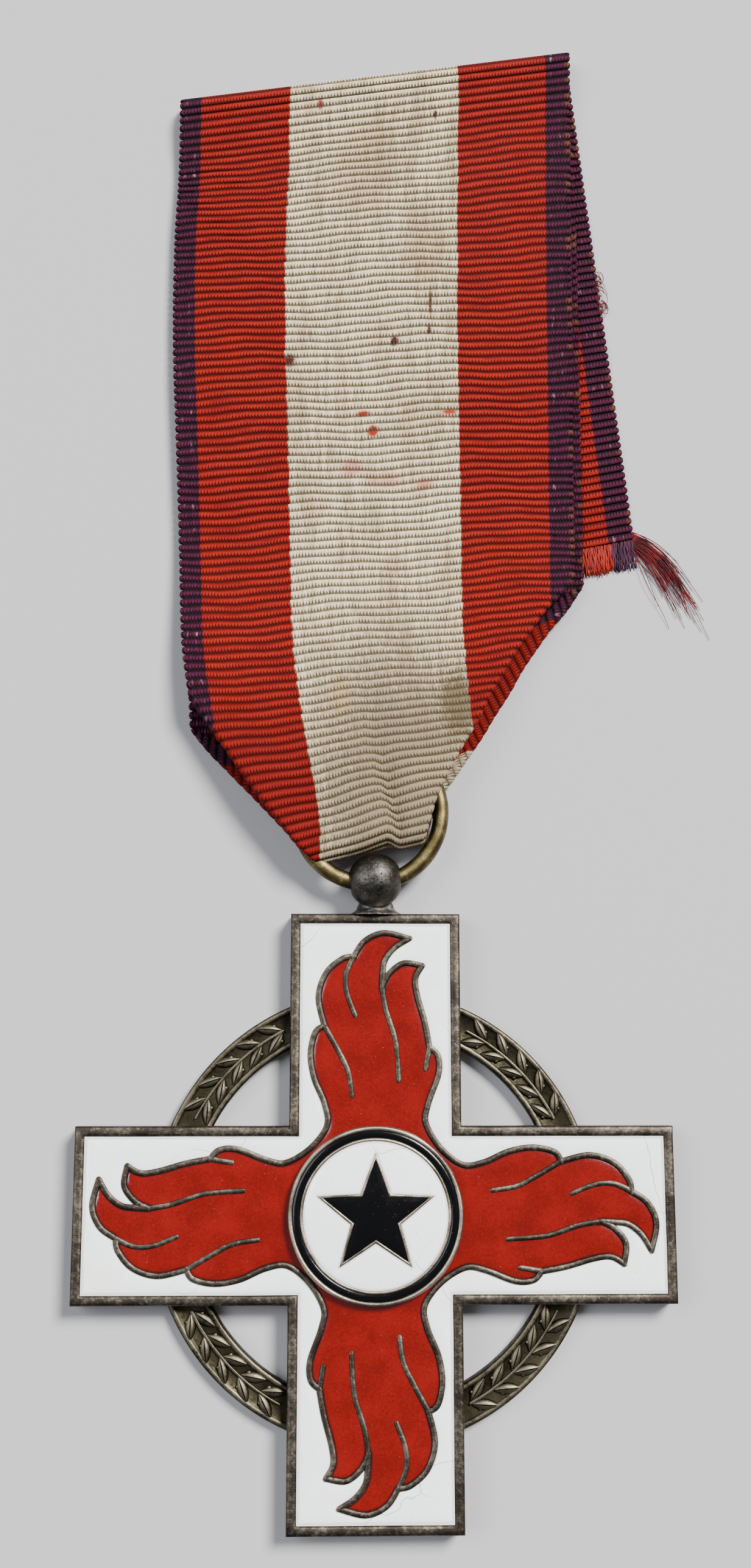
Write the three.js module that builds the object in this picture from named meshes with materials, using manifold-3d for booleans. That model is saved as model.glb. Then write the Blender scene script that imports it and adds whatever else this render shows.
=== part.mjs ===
// An enamelled cross medal on its folded ribbon, lying flat on its back.
// Millimetres, +Z up out of the face, +Y from the cross towards the ribbon.
// The origin is the centre of the cross on its flat back.
import * as THREE from 'three';
import { mergeVertices } from 'three/addons/utils/BufferGeometryUtils.js';
import Module from 'manifold-3d';

const wasm = await Module();
wasm.setup();

// ---- driving dimensions -------------------------------------------------
const FIT = 0.03;                // gap round an enamel field or an inlaid piece

const CROSS_SPAN = 43.5;         // tip to tip, both ways
const ARM_WIDTH = 12.54;
const CROSS_HEIGHT = 2.3;        // back to the top of the rim
const FLOOR_HEIGHT = 1.2;        // back to the floor of the enamel cell
const RIM_WIDTH = 0.75;
const WALL_WIDTH = 0.34;         // raised metal line round the flames
const LICK_WIDTH = 0.4;          // raised line inside a flame, at its root
const ENAMEL_DROP = 0.06;        // enamel surface below the rim
const CORNER_STRIP = 0.8;        // white strip between flames and inner corner

const BAND_INNER_R = 13.4;       // laurel band that ties the arms together
const BAND_OUTER_R = 16.2;
const BAND_HEIGHT = 1.15;
const BAND_LAP = 0.55;           // thickness where it passes behind an arm
const LEAF_RISE = 0.25;
const LEAF_PITCH = 1.7;
const LEAF_LENGTH = 1.7;
const LEAF_WIDTH = 0.8;
const LEAF_TILT = 28;            // degrees from the band's run

const SOLDER_HEIGHT = 0.1;       // soft solder under the medallion
const MEDALLION_R = 6.3;
const MEDALLION_HEIGHT = 3.0;    // back of the cross to the medallion's rim
const MEDALLION_LIFT = 0.05;     // its plate stands this far over the rim
const RED_STRIP = 1.4;           // red enamel between its foot and a corner
const MEDALLION_RIM = 0.33;
const MEDALLION_RING_R = 5.2;    // inside of the inner ring, the white disc
const MEDALLION_RING = 0.25;
const MEDALLION_CELL = 0.4;      // depth of the enamel cells
const DOME_RISE = 0.35;          // crown of the white disc
const STAR_R = 4.2;
const STAR_WALL = 0.3;
const STAR_WAIST = 0.42;         // inner points over outer points
const TIP_GROW = 1.9;            // a star's tip moves out this much for each unit its sides do
const WAIST_GROW = 1.1;          // and an inner corner this much

const BALL_R = 2.05;
const BALL_SEAT = 0.45;          // gap from arm to ball, filled with solder
const BORE_CLEARANCE = 0.05;
const SOLDER_NECK_R = 1.0;
const WIRE_R = 0.62;
const RING_R = 5.4;              // centre of the wire
const RING_LEAN = 5;             // degrees the ring hangs off to the left

const RIBBON_WIDTH = 30.8;
const CLOTH = 0.35;              // one layer of ribbon
const LAYER_GAP = 0.1;
const THROAT_WIDTH = 6.8;        // folded width where it passes the ring
const THROAT_SHIFT = 0.25;       // right of the ring's middle
const THROAT_SLANT = 8;          // degrees, slant of the ribbon's lowest edge
const V_LEFT = 12.2;             // height of the folded V at its left edge
const V_RIGHT = 20.2;            // and at its right edge
const RETURN_SHIFT = 0.9;        // the back panel lies this far to the right
const PANEL_LENGTH = 62.0;       // throat to top fold at the middle
const TOP_SLANT = 8.8;           // degrees, slant of the top fold
const TOP_FOLD_R = 1.15;
const FOLD_RUN = 3;              // the panel swells to the top fold over this length
const TAIL_LENGTH = 44.4;        // top fold to the cut end, at its right edge
const TAIL_LEAN = 6.0;           // degrees the tail leans out to the right
const TAIL_CUT = 12;             // degrees, slant of the cut end
const CREASE_R = 0.7;            // half thickness of the ribbon at its crease
const CREASE_RISE = 1.5;         // ring top to the crease line
const CREASE_RUN = 2.5;          // above the crease the front lies flat again
const RETURN_START = 1.5;        // the back panel starts this far above the crease
const LOOP_SHOULDER = 1.5;       // the loop's layers part this far above the throat line
const THROAT_GAP = 0.1;          // ball to the cloth that passes it

// ---- solids -------------------------------------------------------------
function solid(geometry) {
  const bare = geometry.clone();
  bare.deleteAttribute('normal');
  bare.deleteAttribute('uv');
  const merged = mergeVertices(bare, 1e-5);
  const vertProperties = new Float32Array(merged.attributes.position.array);
  const triVerts = new Uint32Array(merged.index.array);
  return new wasm.Manifold(new wasm.Mesh({ numProp: 3, vertProperties, triVerts }));
}

function geometryOf(manifold) {
  const mesh = manifold.getMesh();
  const geometry = new THREE.BufferGeometry();
  geometry.setAttribute('position', new THREE.BufferAttribute(mesh.vertProperties, 3));
  geometry.setIndex(new THREE.BufferAttribute(mesh.triVerts, 1));
  geometry.computeVertexNormals();
  return geometry;
}

function prism(points, low, high) {
  const shape = new THREE.Shape(points);
  const geometry = new THREE.ExtrudeGeometry(shape, { depth: high - low, bevelEnabled: false });
  return solid(geometry.translate(0, 0, low));
}

function disc(radius, low, high, sides = 40) {
  const geometry = new THREE.CylinderGeometry(radius, radius, high - low, sides);
  return solid(geometry.rotateX(Math.PI / 2).translate(0, 0, (low + high) / 2));
}

// A turned solid about Z from [radius, height] pairs that start and end on the axis.
function turned(profile, sides = 40) {
  const outline = profile.map(([r, z]) => new THREE.Vector2(r, z));
  return solid(new THREE.LatheGeometry(outline, sides).rotateX(Math.PI / 2));
}

function box(width, depth, low, high, x = 0, y = 0) {
  const geometry = new THREE.BoxGeometry(width, depth, high - low);
  return solid(geometry.translate(x, y, (low + high) / 2));
}

function union(pieces) {
  return pieces.reduce((sum, piece) => sum.add(piece));
}

const degrees = THREE.MathUtils.degToRad;
const turn = (point, angle) => point.clone().rotateAround(new THREE.Vector2(), angle);

// ---- the cross ----------------------------------------------------------
const halfSpan = CROSS_SPAN / 2;
const halfArm = ARM_WIDTH / 2;
const cellArm = halfArm - RIM_WIDTH;
const cellSpan = halfSpan - RIM_WIDTH;
const enamelTop = CROSS_HEIGHT - ENAMEL_DROP;

function crossOutline(arm, span) {
  const quarter = [[arm, arm], [arm, span], [-arm, span]];
  return [0, 1, 2, 3].flatMap((k) => quarter.map(([x, y]) => {
    return turn(new THREE.Vector2(x, y), k * Math.PI / 2);
  }));
}

// A raised line through the points: its half width runs evenly from start to
// end, and both ends are round.
function stroke(points, startHalf, endHalf, low, high) {
  const left = [];
  const right = [];
  points.forEach((point, i) => {
    const before = points[Math.max(i - 1, 0)];
    const after = points[Math.min(i + 1, points.length - 1)];
    const along = after.clone().sub(before).normalize();
    const half = THREE.MathUtils.lerp(startHalf, endHalf, i / (points.length - 1));
    left.push(new THREE.Vector2(point.x - along.y * half, point.y + along.x * half));
    right.push(new THREE.Vector2(point.x + along.y * half, point.y - along.x * half));
  });
  return union([
    prism([...right, ...left.reverse()], low, high),
    disc(startHalf, low, high, 6).translate([points[0].x, points[0].y, 0]),
    disc(endHalf, low, high, 6).translate([points.at(-1).x, points.at(-1).y, 0]),
  ]);
}

// Flames of the upper arm. Each point is [u, v]: u across the cell from its
// middle to its side, v from the inner corners to the arm's end.
const cellPoint = ([u, v]) => new THREE.Vector2(u * cellArm, cellArm + v * (cellSpan - cellArm));
const LEFT_NOTCH = [-0.68, 0.515];
const UPPER_NOTCH = [-0.29, 0.845];
const MAIN_TIP = [0.46, 0.93];
const MIDDLE_NOTCH = [0.09, 0.70];
const SECOND_TIP = [0.63, 0.80];
const HOOK_NOTCH = [0.72, 0.415];
const FLAME_SIDES = [
  [LEFT_NOTCH, [-0.76, 0.65], [-0.66, 0.765], [-0.45, 0.832], UPPER_NOTCH],
  [UPPER_NOTCH, [-0.14, 0.92], [0.12, 0.957], MAIN_TIP],
  [MAIN_TIP, [0.26, 0.885], [0.13, 0.825], [0.10, 0.76], MIDDLE_NOTCH],
  [MIDDLE_NOTCH, [0.19, 0.765], [0.38, 0.812], SECOND_TIP],
  [SECOND_TIP, [0.54, 0.74], [0.56, 0.66], [0.66, 0.53], HOOK_NOTCH],
];
const RIGHT_FLANK = [HOOK_NOTCH, [0.83, 0.375], [0.84, 0.29], [0.70, 0.15], [0.67, 0.06]];
const LEFT_FLANK = [[-0.64, 0.05], [-0.67, 0.15], [-0.81, 0.27], [-0.86, 0.385], [-0.80, 0.485],
  LEFT_NOTCH];
const LICKS = [
  [LEFT_NOTCH, [-0.48, 0.39], [-0.36, 0.30], [-0.31, 0.19]],
  [UPPER_NOTCH, [-0.39, 0.76], [-0.38, 0.67], [-0.27, 0.565]],
  [MIDDLE_NOTCH, [0.14, 0.59], [0.27, 0.44], [0.31, 0.26]],
  [HOOK_NOTCH, [0.69, 0.36], [0.67, 0.315]],
];

// The flank that leaves one arm passes the inner corner and climbs the next.
const corner = new THREE.Vector2(cellArm - CORNER_STRIP, cellArm - CORNER_STRIP);
const flank = [
  ...RIGHT_FLANK.map(cellPoint),
  corner,
  ...LEFT_FLANK.map((point) => turn(cellPoint(point), -Math.PI / 2)),
];

function armCurves(k) {
  const smooth = (points, steps) => {
    const placed = points.map((point) => turn(point, -k * Math.PI / 2));
    return new THREE.SplineCurve(placed).getPoints(steps);
  };
  const sides = FLAME_SIDES.map((points) => smooth(points.map(cellPoint), 5));
  const licks = LICKS.map((points) => smooth(points.map(cellPoint), points.length));
  return { outline: [...sides, smooth(flank, 16)], licks };
}
const flames = [0, 1, 2, 3].map(armCurves);

function flameWalls(low, high, extra) {
  const half = WALL_WIDTH / 2 + extra;
  const tip = LICK_WIDTH / 4 + extra;
  return union(flames.flatMap(({ outline, licks }) => [
    ...outline.map((points) => stroke(points, half, half, low, high)),
    ...licks.map((points) => stroke(points, LICK_WIDTH / 2 + extra, tip, low, high)),
  ]));
}

const flameOutline = flames.flatMap(({ outline }) => outline.flatMap((points) => points.slice(0, -1)));
const footR = corner.length() - WALL_WIDTH / 2 - RED_STRIP;
const footHole = disc(footR + FIT, FLOOR_HEIGHT - 1, CROSS_HEIGHT + 1);
const bandShape = (inner, outer, low, high) => {
  return disc(outer, low, high, 64).subtract(disc(inner, low - 1, high + 1, 64));
};
const bandSlot = bandShape(BAND_INNER_R - FIT, BAND_OUTER_R + FIT, -1, BAND_LAP + FIT);
const crossBody = prism(crossOutline(halfArm, halfSpan), 0, CROSS_HEIGHT)
  .subtract(prism(crossOutline(cellArm, cellSpan), FLOOR_HEIGHT, CROSS_HEIGHT + 1))
  .add(flameWalls(FLOOR_HEIGHT - FIT, CROSS_HEIGHT, 0))
  .subtract(bandSlot);

const wallClearance = flameWalls(FLOOR_HEIGHT - 1, CROSS_HEIGHT + 1, FIT);
const redEnamel = prism(flameOutline, FLOOR_HEIGHT, enamelTop)
  .subtract(wallClearance)
  .subtract(footHole);
const whiteEnamel = prism(crossOutline(cellArm - FIT, cellSpan - FIT), FLOOR_HEIGHT, enamelTop)
  .subtract(prism(flameOutline, FLOOR_HEIGHT - 1, CROSS_HEIGHT + 1))
  .subtract(wallClearance);

// ---- the laurel band ----------------------------------------------------
// One flat ring, half as thick where it passes behind each arm, with pairs of
// leaves raised on the four stretches that show.
const bandMiddle = (BAND_INNER_R + BAND_OUTER_R) / 2;
const showFrom = Math.asin((halfArm + LEAF_LENGTH / 2) / bandMiddle);
const showAngle = Math.PI / 2 - 2 * showFrom;
const leafPairs = Math.max(1, Math.floor(showAngle * bandMiddle / LEAF_PITCH));

function leaf(angle, side) {
  const outline = [0, 1, 2, 3, 4, 5].map((i) => {
    const t = i < 3 ? i / 3 : (6 - i) / 3;
    const half = (LEAF_WIDTH / 2) * Math.sin(Math.PI * t) * (i < 3 ? -1 : 1);
    return new THREE.Vector2(t * LEAF_LENGTH, half);
  });
  const placed = outline.map((point) => {
    const tilted = turn(point, Math.PI / 2 + side * degrees(LEAF_TILT));
    tilted.x += bandMiddle - side * 0.1;
    return turn(tilted, angle);
  });
  return prism(placed, BAND_HEIGHT - FIT, BAND_HEIGHT + LEAF_RISE);
}

const quadrant = box(halfSpan, halfSpan, -1, CROSS_HEIGHT, halfArm + FIT + halfSpan / 2,
  halfArm + FIT + halfSpan / 2);
const thickStretch = bandShape(BAND_INNER_R, BAND_OUTER_R, 0, BAND_HEIGHT).intersect(quadrant);
const leaves = [];
for (let i = 0; i < leafPairs; i += 1) {
  const angle = showFrom + showAngle * (i + 0.2) / leafPairs;
  leaves.push(leaf(angle, 1), leaf(angle, -1));
}
const dressedStretch = union([thickStretch, ...leaves]);
const laurelBand = union([
  bandShape(BAND_INNER_R, BAND_OUTER_R, 0, BAND_LAP),
  ...[0, 90, 180, 270].map((angle) => dressedStretch.rotate([0, 0, angle])),
]);

// ---- the medallion ------------------------------------------------------
// A dished plate over the enamel, on a foot that is soldered to the cell floor.
const footLow = FLOOR_HEIGHT + SOLDER_HEIGHT;
const plateLow = CROSS_HEIGHT + MEDALLION_LIFT;
const cellFloor = MEDALLION_HEIGHT - MEDALLION_CELL;
const rimInner = MEDALLION_R - MEDALLION_RIM;
const ringOuter = MEDALLION_RING_R + MEDALLION_RING;
const domeHeight = (r) => MEDALLION_HEIGHT + DOME_RISE * (1 - (r / MEDALLION_RING_R) ** 2);
const domeProfile = (edge, lift) => [4, 3, 2, 1, 0].map((i) => {
  return [edge * i / 4, domeHeight(edge * i / 4) + lift];
});

const starPoints = (grow) => Array.from({ length: 10 }, (_, i) => {
  const radius = (i % 2 ? STAR_R * STAR_WAIST : STAR_R) + grow * (i % 2 ? WAIST_GROW : TIP_GROW);
  return turn(new THREE.Vector2(0, radius), i * Math.PI / 5);
});
const starPrism = (grow) => prism(starPoints(grow), cellFloor, MEDALLION_HEIGHT + 2);
const starWall = starPrism(STAR_WALL / 2).subtract(starPrism(-STAR_WALL / 2));

const medallionSolder = disc(footR, FLOOR_HEIGHT, footLow);
const medallionBase = turned([
  [0, footLow], [footR, footLow], [footR, plateLow], [MEDALLION_R, plateLow],
  [MEDALLION_R, MEDALLION_HEIGHT],
  [rimInner, MEDALLION_HEIGHT], [rimInner, cellFloor], [ringOuter, cellFloor],
  [ringOuter, MEDALLION_HEIGHT], [MEDALLION_RING_R, MEDALLION_HEIGHT],
  [MEDALLION_RING_R, cellFloor], [0, cellFloor],
]).add(starWall.intersect(turned([
  [0, cellFloor - FIT], [MEDALLION_RING_R, cellFloor - FIT], ...domeProfile(MEDALLION_RING_R, FIT),
])));
const blackRing = turned([
  [ringOuter + FIT, cellFloor], [rimInner - FIT, cellFloor],
  [rimInner - FIT, MEDALLION_HEIGHT - FIT], [ringOuter + FIT, MEDALLION_HEIGHT - FIT],
  [ringOuter + FIT, cellFloor],
]);
const crown = turned([
  [0, cellFloor], [MEDALLION_RING_R - FIT, cellFloor],
  ...domeProfile(MEDALLION_RING_R - FIT, 0),
]);
const clearStar = prism(starPoints(STAR_WALL / 2 + FIT), cellFloor - 1, MEDALLION_HEIGHT + 2);
const whiteDisc = crown.subtract(clearStar);
const starEnamel = crown.intersect(starPrism(-STAR_WALL / 2 - FIT));

// ---- ball and ring ------------------------------------------------------
const ball = new THREE.Vector3(0, halfSpan + BALL_SEAT + BALL_R, BALL_R);
const lean = degrees(RING_LEAN);
// The curved wire bows to both sides of the bore's axis, half its sag each way.
const wireBow = (RING_R - Math.sqrt(RING_R ** 2 - BALL_R ** 2)) / 2;
const boreR = WIRE_R + wireBow + BORE_CLEARANCE;
const boreLength = 4 * BALL_R;
const bore = solid(new THREE.CylinderGeometry(boreR, boreR, boreLength, 14)
  .rotateZ(Math.PI / 2 + lean).translate(ball.x, ball.y, ball.z));
const wholeBall = solid(new THREE.SphereGeometry(BALL_R, 20, 12).rotateX(Math.PI / 2)
  .translate(ball.x, ball.y, ball.z));
const suspensionBall = wholeBall.subtract(bore);

// The solder stands on the arm's top edge and flares under the ball.
const neckMiddle = Math.min(CROSS_HEIGHT - SOLDER_NECK_R, ball.z);
const neckTop = BALL_SEAT + BALL_R * 0.4;
const neck = turned([
  [0, FIT], [SOLDER_NECK_R, FIT], [SOLDER_NECK_R * 0.8, BALL_SEAT * 0.8],
  [SOLDER_NECK_R * 0.75, neckTop], [0, neckTop],
], 16).rotate([-90, 0, 0]).translate([ball.x, halfSpan, neckMiddle]);
const ballClearance = solid(new THREE.SphereGeometry(BALL_R + 2 * FIT, 20, 12).rotateX(Math.PI / 2)
  .translate(ball.x, ball.y, ball.z));
const ballSolder = neck.subtract(ballClearance);

const hang = RING_R - wireBow;
const ringCentre = new THREE.Vector3(
  ball.x - hang * Math.sin(lean), ball.y + hang * Math.cos(lean), ball.z);
const ringGeometry = new THREE.TorusGeometry(RING_R, WIRE_R, 8, 36);

// ---- the ribbon ---------------------------------------------------------
// A strip is a loft of flat sections. A section is [left, right, up, half]: its
// two edge points, the direction through the cloth, and half its thickness.
// With up towards +Z the sections run towards -Y.
function strip(sections) {
  const positions = [];
  sections.forEach(([left, right, up, half]) => {
    const rise = up.clone().multiplyScalar(half);
    [left.clone().sub(rise), right.clone().sub(rise), right.clone().add(rise),
      left.clone().add(rise)].forEach((point) => positions.push(...point.toArray()));
  });
  const index = [];
  const quad = (a, b, c, d) => index.push(a, b, c, a, c, d);
  for (let i = 0; i + 1 < sections.length; i += 1) {
    for (let j = 0; j < 4; j += 1) {
      const next = (j + 1) % 4;
      quad(i * 4 + j, i * 4 + next, i * 4 + 4 + next, i * 4 + 4 + j);
    }
  }
  const last = (sections.length - 1) * 4;
  quad(3, 2, 1, 0);
  quad(last, last + 1, last + 2, last + 3);
  const geometry = new THREE.BufferGeometry();
  geometry.setAttribute('position', new THREE.Float32BufferAttribute(positions, 3));
  geometry.setIndex(index);
  geometry.computeVertexNormals();
  return geometry;
}

const UP = new THREE.Vector3(0, 0, 1);
const halfRibbon = RIBBON_WIDTH / 2;
const slant = degrees(THROAT_SLANT);
const topSlant = degrees(TOP_SLANT);

// Heights of the layers where the ribbon lies flat, lowest first.
const tailLevel = CLOTH / 2;
const returnLevel = tailLevel + CLOTH + LAYER_GAP;
const frontLevel = returnLevel + CLOTH + LAYER_GAP;

// The throat is where the folded ribbon turns round inside the ring.
const loopGap = 2 * LAYER_GAP + WIRE_R;
const loopR = loopGap + CLOTH;
const throatY = ball.y + BALL_R + THROAT_GAP + loopR + CLOTH;
const throat = new THREE.Vector3(ringCentre.x + THROAT_SHIFT, throatY, ball.z);
const throatLeft = -THROAT_WIDTH / 2;
const throatRight = THROAT_WIDTH / 2;

// Left and right edge of the folded V at a height above the throat line.
function edges(y, shift) {
  const rise = y - throat.y;
  const left = THREE.MathUtils.clamp(rise / V_LEFT, 0, 1);
  const right = THREE.MathUtils.clamp(rise / V_RIGHT, 0, 1);
  return [
    THREE.MathUtils.lerp(throat.x + throatLeft, -halfRibbon + shift, left),
    THREE.MathUtils.lerp(throat.x + throatRight, halfRibbon + shift, right),
  ];
}

function flatSection(y, level, half, shift = 0) {
  const [left, right] = edges(y, shift);
  return [new THREE.Vector3(left, y, level), new THREE.Vector3(right, y, level), UP, half];
}

const ringTop = ringCentre.y + RING_R + WIRE_R;
const crease = new THREE.Vector3(0, ringTop + CREASE_RISE, ball.z);
const loopEnd = crease.y - CREASE_R - LAYER_GAP;

// Round the throat: a half turn about a slanted line, front layer to back.
function throatSections(steps) {
  const along = new THREE.Vector3(Math.cos(slant), Math.sin(slant), 0);
  const down = new THREE.Vector3(Math.sin(slant), -Math.cos(slant), 0);
  return Array.from({ length: steps + 1 }, (_, i) => {
    const angle = Math.PI * i / steps;
    const out = UP.clone().multiplyScalar(Math.cos(angle))
      .addScaledVector(down, Math.sin(angle));
    const middle = throat.clone().addScaledVector(out, loopR);
    return [middle.clone().addScaledVector(along, throatLeft),
      middle.clone().addScaledVector(along, throatRight), out, CLOTH];
  });
}
const loopFrontLevel = ball.z + loopR;
const loopBackLevel = ball.z - loopR;
const pinch = CLOTH + LAYER_GAP / 2;
const wireTopY = ringTop;
const ribbonLoop = strip([
  flatSection(loopEnd, ball.z + pinch, CLOTH),
  flatSection(wireTopY, loopFrontLevel, CLOTH),
  flatSection(throat.y + LOOP_SHOULDER, loopFrontLevel, CLOTH),
  ...throatSections(10),
  flatSection(throat.y + LOOP_SHOULDER, loopBackLevel, CLOTH).map(flip),
  flatSection(wireTopY, loopBackLevel, CLOTH).map(flip),
  flatSection(loopEnd, ball.z - pinch, CLOTH).map(flip),
]);
function flip(value) {
  return value === UP ? UP.clone().negate() : value;
}

// A round edge about an axis line: sections that close down over almost a quarter
// turn, so that the last one still has a thickness.
const EDGE_TURN = (Math.PI / 2) * 0.96;
function roundEdge(left, right, out, radius, steps) {
  return Array.from({ length: steps + 1 }, (_, i) => {
    const angle = EDGE_TURN * i / steps;
    const move = out.clone().multiplyScalar(radius * Math.sin(angle));
    return [left.clone().add(move), right.clone().add(move), UP, radius * Math.cos(angle)];
  });
}

const foldLow = LAYER_GAP / 2;   // underside of the top fold
const topLine = (x) => new THREE.Vector3(
  x, throat.y + PANEL_LENGTH + x * Math.tan(topSlant), foldLow + TOP_FOLD_R);
const topOut = new THREE.Vector3(-Math.sin(topSlant), Math.cos(topSlant), 0);

// A section parallel to the top fold, this far below it.
function slantedSection(below, level, half, shift = 0) {
  const place = (x) => topLine(x).addScaledVector(topOut, -below).setZ(level);
  const slide = new THREE.Vector3(shift, 0, 0);
  return [place(-halfRibbon).add(slide), place(halfRibbon).add(slide), UP, half];
}

const [creaseLeft, creaseRight] = edges(crease.y, 0);
const vTop = throat.y + V_RIGHT;
const ribbonFront = strip([
  ...roundEdge(new THREE.Vector3(creaseLeft, crease.y, crease.z),
    new THREE.Vector3(creaseRight, crease.y, crease.z),
    new THREE.Vector3(0, -1, 0), CREASE_R, 5).reverse(),
  flatSection(crease.y + CREASE_RUN, ball.z, CLOTH + LAYER_GAP),
  flatSection(throat.y + V_LEFT, frontLevel + CLOTH, CLOTH),
  flatSection(vTop, frontLevel, CLOTH / 2),
  slantedSection(FOLD_RUN, frontLevel, CLOTH / 2),
  ...roundEdge(topLine(-halfRibbon), topLine(halfRibbon), topOut, TOP_FOLD_R, 6),
].reverse());

const ribbonReturn = strip([
  flatSection(crease.y + RETURN_START, returnLevel + CLOTH / 4, CLOTH * 0.75, RETURN_SHIFT / 3),
  flatSection(throat.y + V_LEFT, returnLevel + CLOTH / 4, CLOTH * 0.75, RETURN_SHIFT),
  flatSection(vTop, returnLevel, CLOTH / 2, RETURN_SHIFT),
  slantedSection(FOLD_RUN + 1, returnLevel, CLOTH / 2, RETURN_SHIFT),
].reverse());

// The tail starts just inside the top fold and leans out to the right.
const tailLean = degrees(TAIL_LEAN);
const swellDepth = frontLevel - CLOTH / 2 - foldLow;
const tailStart = FOLD_RUN * (CLOTH + LAYER_GAP - foldLow) / swellDepth;
function tailSection(distance, cut) {
  const fromFold = topOut.clone().multiplyScalar(-tailStart);
  const run = new THREE.Vector3(Math.sin(tailLean), -Math.cos(tailLean), 0);
  const left = topLine(-halfRibbon).add(fromFold).addScaledVector(run, distance - cut);
  const right = topLine(halfRibbon).add(fromFold).addScaledVector(run, distance);
  return [left.setZ(tailLevel), right.setZ(tailLevel), UP, CLOTH / 2];
}
const cutBack = RIBBON_WIDTH * (Math.tan(topSlant) - Math.tan(degrees(TAIL_CUT)));
const ribbonTail = strip([tailSection(0, 0), tailSection(TAIL_LENGTH, -cutBack)]);

// ---- materials and assembly ---------------------------------------------
const finish = (color, roughness, metalness) => {
  return new THREE.MeshStandardMaterial({ color, roughness, metalness });
};
const darkSilver = finish(0x78736a, 0.42, 1);
const bandMetal = finish(0x8d8668, 0.5, 1);
const ballMetal = finish(0x544f4b, 0.35, 1);
const agedBrass = finish(0x8c7c4c, 0.35, 1);
const solderGrey = finish(0x7f7a72, 0.5, 1);
const whiteGlass = finish(0xe6f0ee, 0.15, 0);
const redGlass = finish(0xbe2014, 0.15, 0);
const blackGlass = finish(0x0c0c10, 0.1, 0);
const redRibbon = finish(0xc43a1e, 0.9, 0);
const creamRibbon = finish(0xd2c3a8, 0.9, 0);
const violetRibbon = finish(0x5a2a5c, 0.9, 0);

const medal = new THREE.Group();
function place(name, shape, material) {
  const geometry = shape.isBufferGeometry ? shape : geometryOf(shape);
  const mesh = new THREE.Mesh(geometry, material);
  mesh.name = name;
  medal.add(mesh);
  return mesh;
}

place('cross_body', crossBody, darkSilver);
place('laurel_band', laurelBand, bandMetal);
place('enamel_white_field', whiteEnamel, whiteGlass);
place('enamel_red_flames', redEnamel, redGlass);
place('medallion_solder', medallionSolder, solderGrey);
place('medallion_base', medallionBase, darkSilver);
place('medallion_black_ring', blackRing, blackGlass);
place('medallion_white_disc', whiteDisc, whiteGlass);
place('medallion_star', starEnamel, blackGlass);
place('suspension_ball', suspensionBall, ballMetal);
place('ball_solder', ballSolder, solderGrey);
const ringMesh = place('suspension_ring', ringGeometry, agedBrass);
ringMesh.position.copy(ringCentre);
place('ribbon_loop', ribbonLoop, creamRibbon);
place('ribbon_front', ribbonFront, redRibbon);
place('ribbon_return', ribbonReturn, redRibbon);
place('ribbon_tail', ribbonTail, violetRibbon);

export default medal;
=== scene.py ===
import math

import bpy
import numpy as np
from mathutils import Matrix, Vector
from mathutils.geometry import delaunay_2d_cdt


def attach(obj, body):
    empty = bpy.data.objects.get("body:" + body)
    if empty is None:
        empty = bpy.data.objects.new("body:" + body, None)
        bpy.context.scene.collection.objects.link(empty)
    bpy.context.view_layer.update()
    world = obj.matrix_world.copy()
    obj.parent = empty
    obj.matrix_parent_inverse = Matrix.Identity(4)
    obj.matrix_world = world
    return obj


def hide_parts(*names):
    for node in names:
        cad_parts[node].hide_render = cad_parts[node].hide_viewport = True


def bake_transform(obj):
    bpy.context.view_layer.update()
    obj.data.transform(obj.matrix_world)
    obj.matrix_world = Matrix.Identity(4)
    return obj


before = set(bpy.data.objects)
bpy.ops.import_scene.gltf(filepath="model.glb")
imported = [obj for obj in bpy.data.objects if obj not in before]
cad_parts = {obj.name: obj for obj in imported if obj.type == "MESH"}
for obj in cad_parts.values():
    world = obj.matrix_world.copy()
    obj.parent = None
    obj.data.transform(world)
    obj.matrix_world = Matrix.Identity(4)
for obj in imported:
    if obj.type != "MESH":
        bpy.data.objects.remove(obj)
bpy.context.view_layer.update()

# ---------------------------------------------------------------------------
# The struck cross. One bronze plate with a raised rim and thin raised lines
# that fence the enamel. It is struck in a die, silvered, and darkened by age;
# the file marks down its edges and the rubbed high spots stay brighter.
# ---------------------------------------------------------------------------
MM = 0.001
SPAN = 21.75          # centre to arm tip
ARM = 6.27            # half an arm's width
RIM = 0.75
RIM_TOP = 2.3
BACK = 0.04           # the plate's back lies this far over the band's
FLOOR = 1.2
FENCE, LICK_END = 0.21, 0.19     # half width of the flames' raised lines, and where licks end
ENAMEL = 2.21         # usual height of the enamel


def grid_quads(rows, columns, wrap_rows=False, wrap_columns=False):
    """Corner numbers of the quads of a rows by columns grid; a wrapped side joins its start."""
    row = np.arange(rows if wrap_rows else rows - 1)[:, None]
    column = np.arange(columns if wrap_columns else columns - 1)[None, :]
    row_after, column_after = (row + 1) % rows, (column + 1) % columns
    corners = [row * columns + column, row * columns + column_after,
               row_after * columns + column_after, row_after * columns + column]
    return np.stack([np.broadcast_to(c, corners[0].shape) for c in corners], -1).reshape(-1, 4)


def six_volumes(points, faces):
    """Six times the volume inside the faces, summed from their tetrahedra: minus if they face in."""
    a, b, c = points[faces[:, 0]], points[faces[:, 1]], points[faces[:, 2]]
    volume = np.einsum("ij,ij->i", a, np.cross(b, c)).sum()
    if faces.shape[1] == 4:
        d = points[faces[:, 3]]
        volume += np.einsum("ij,ij->i", a, np.cross(c, d)).sum()
    return volume


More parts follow.
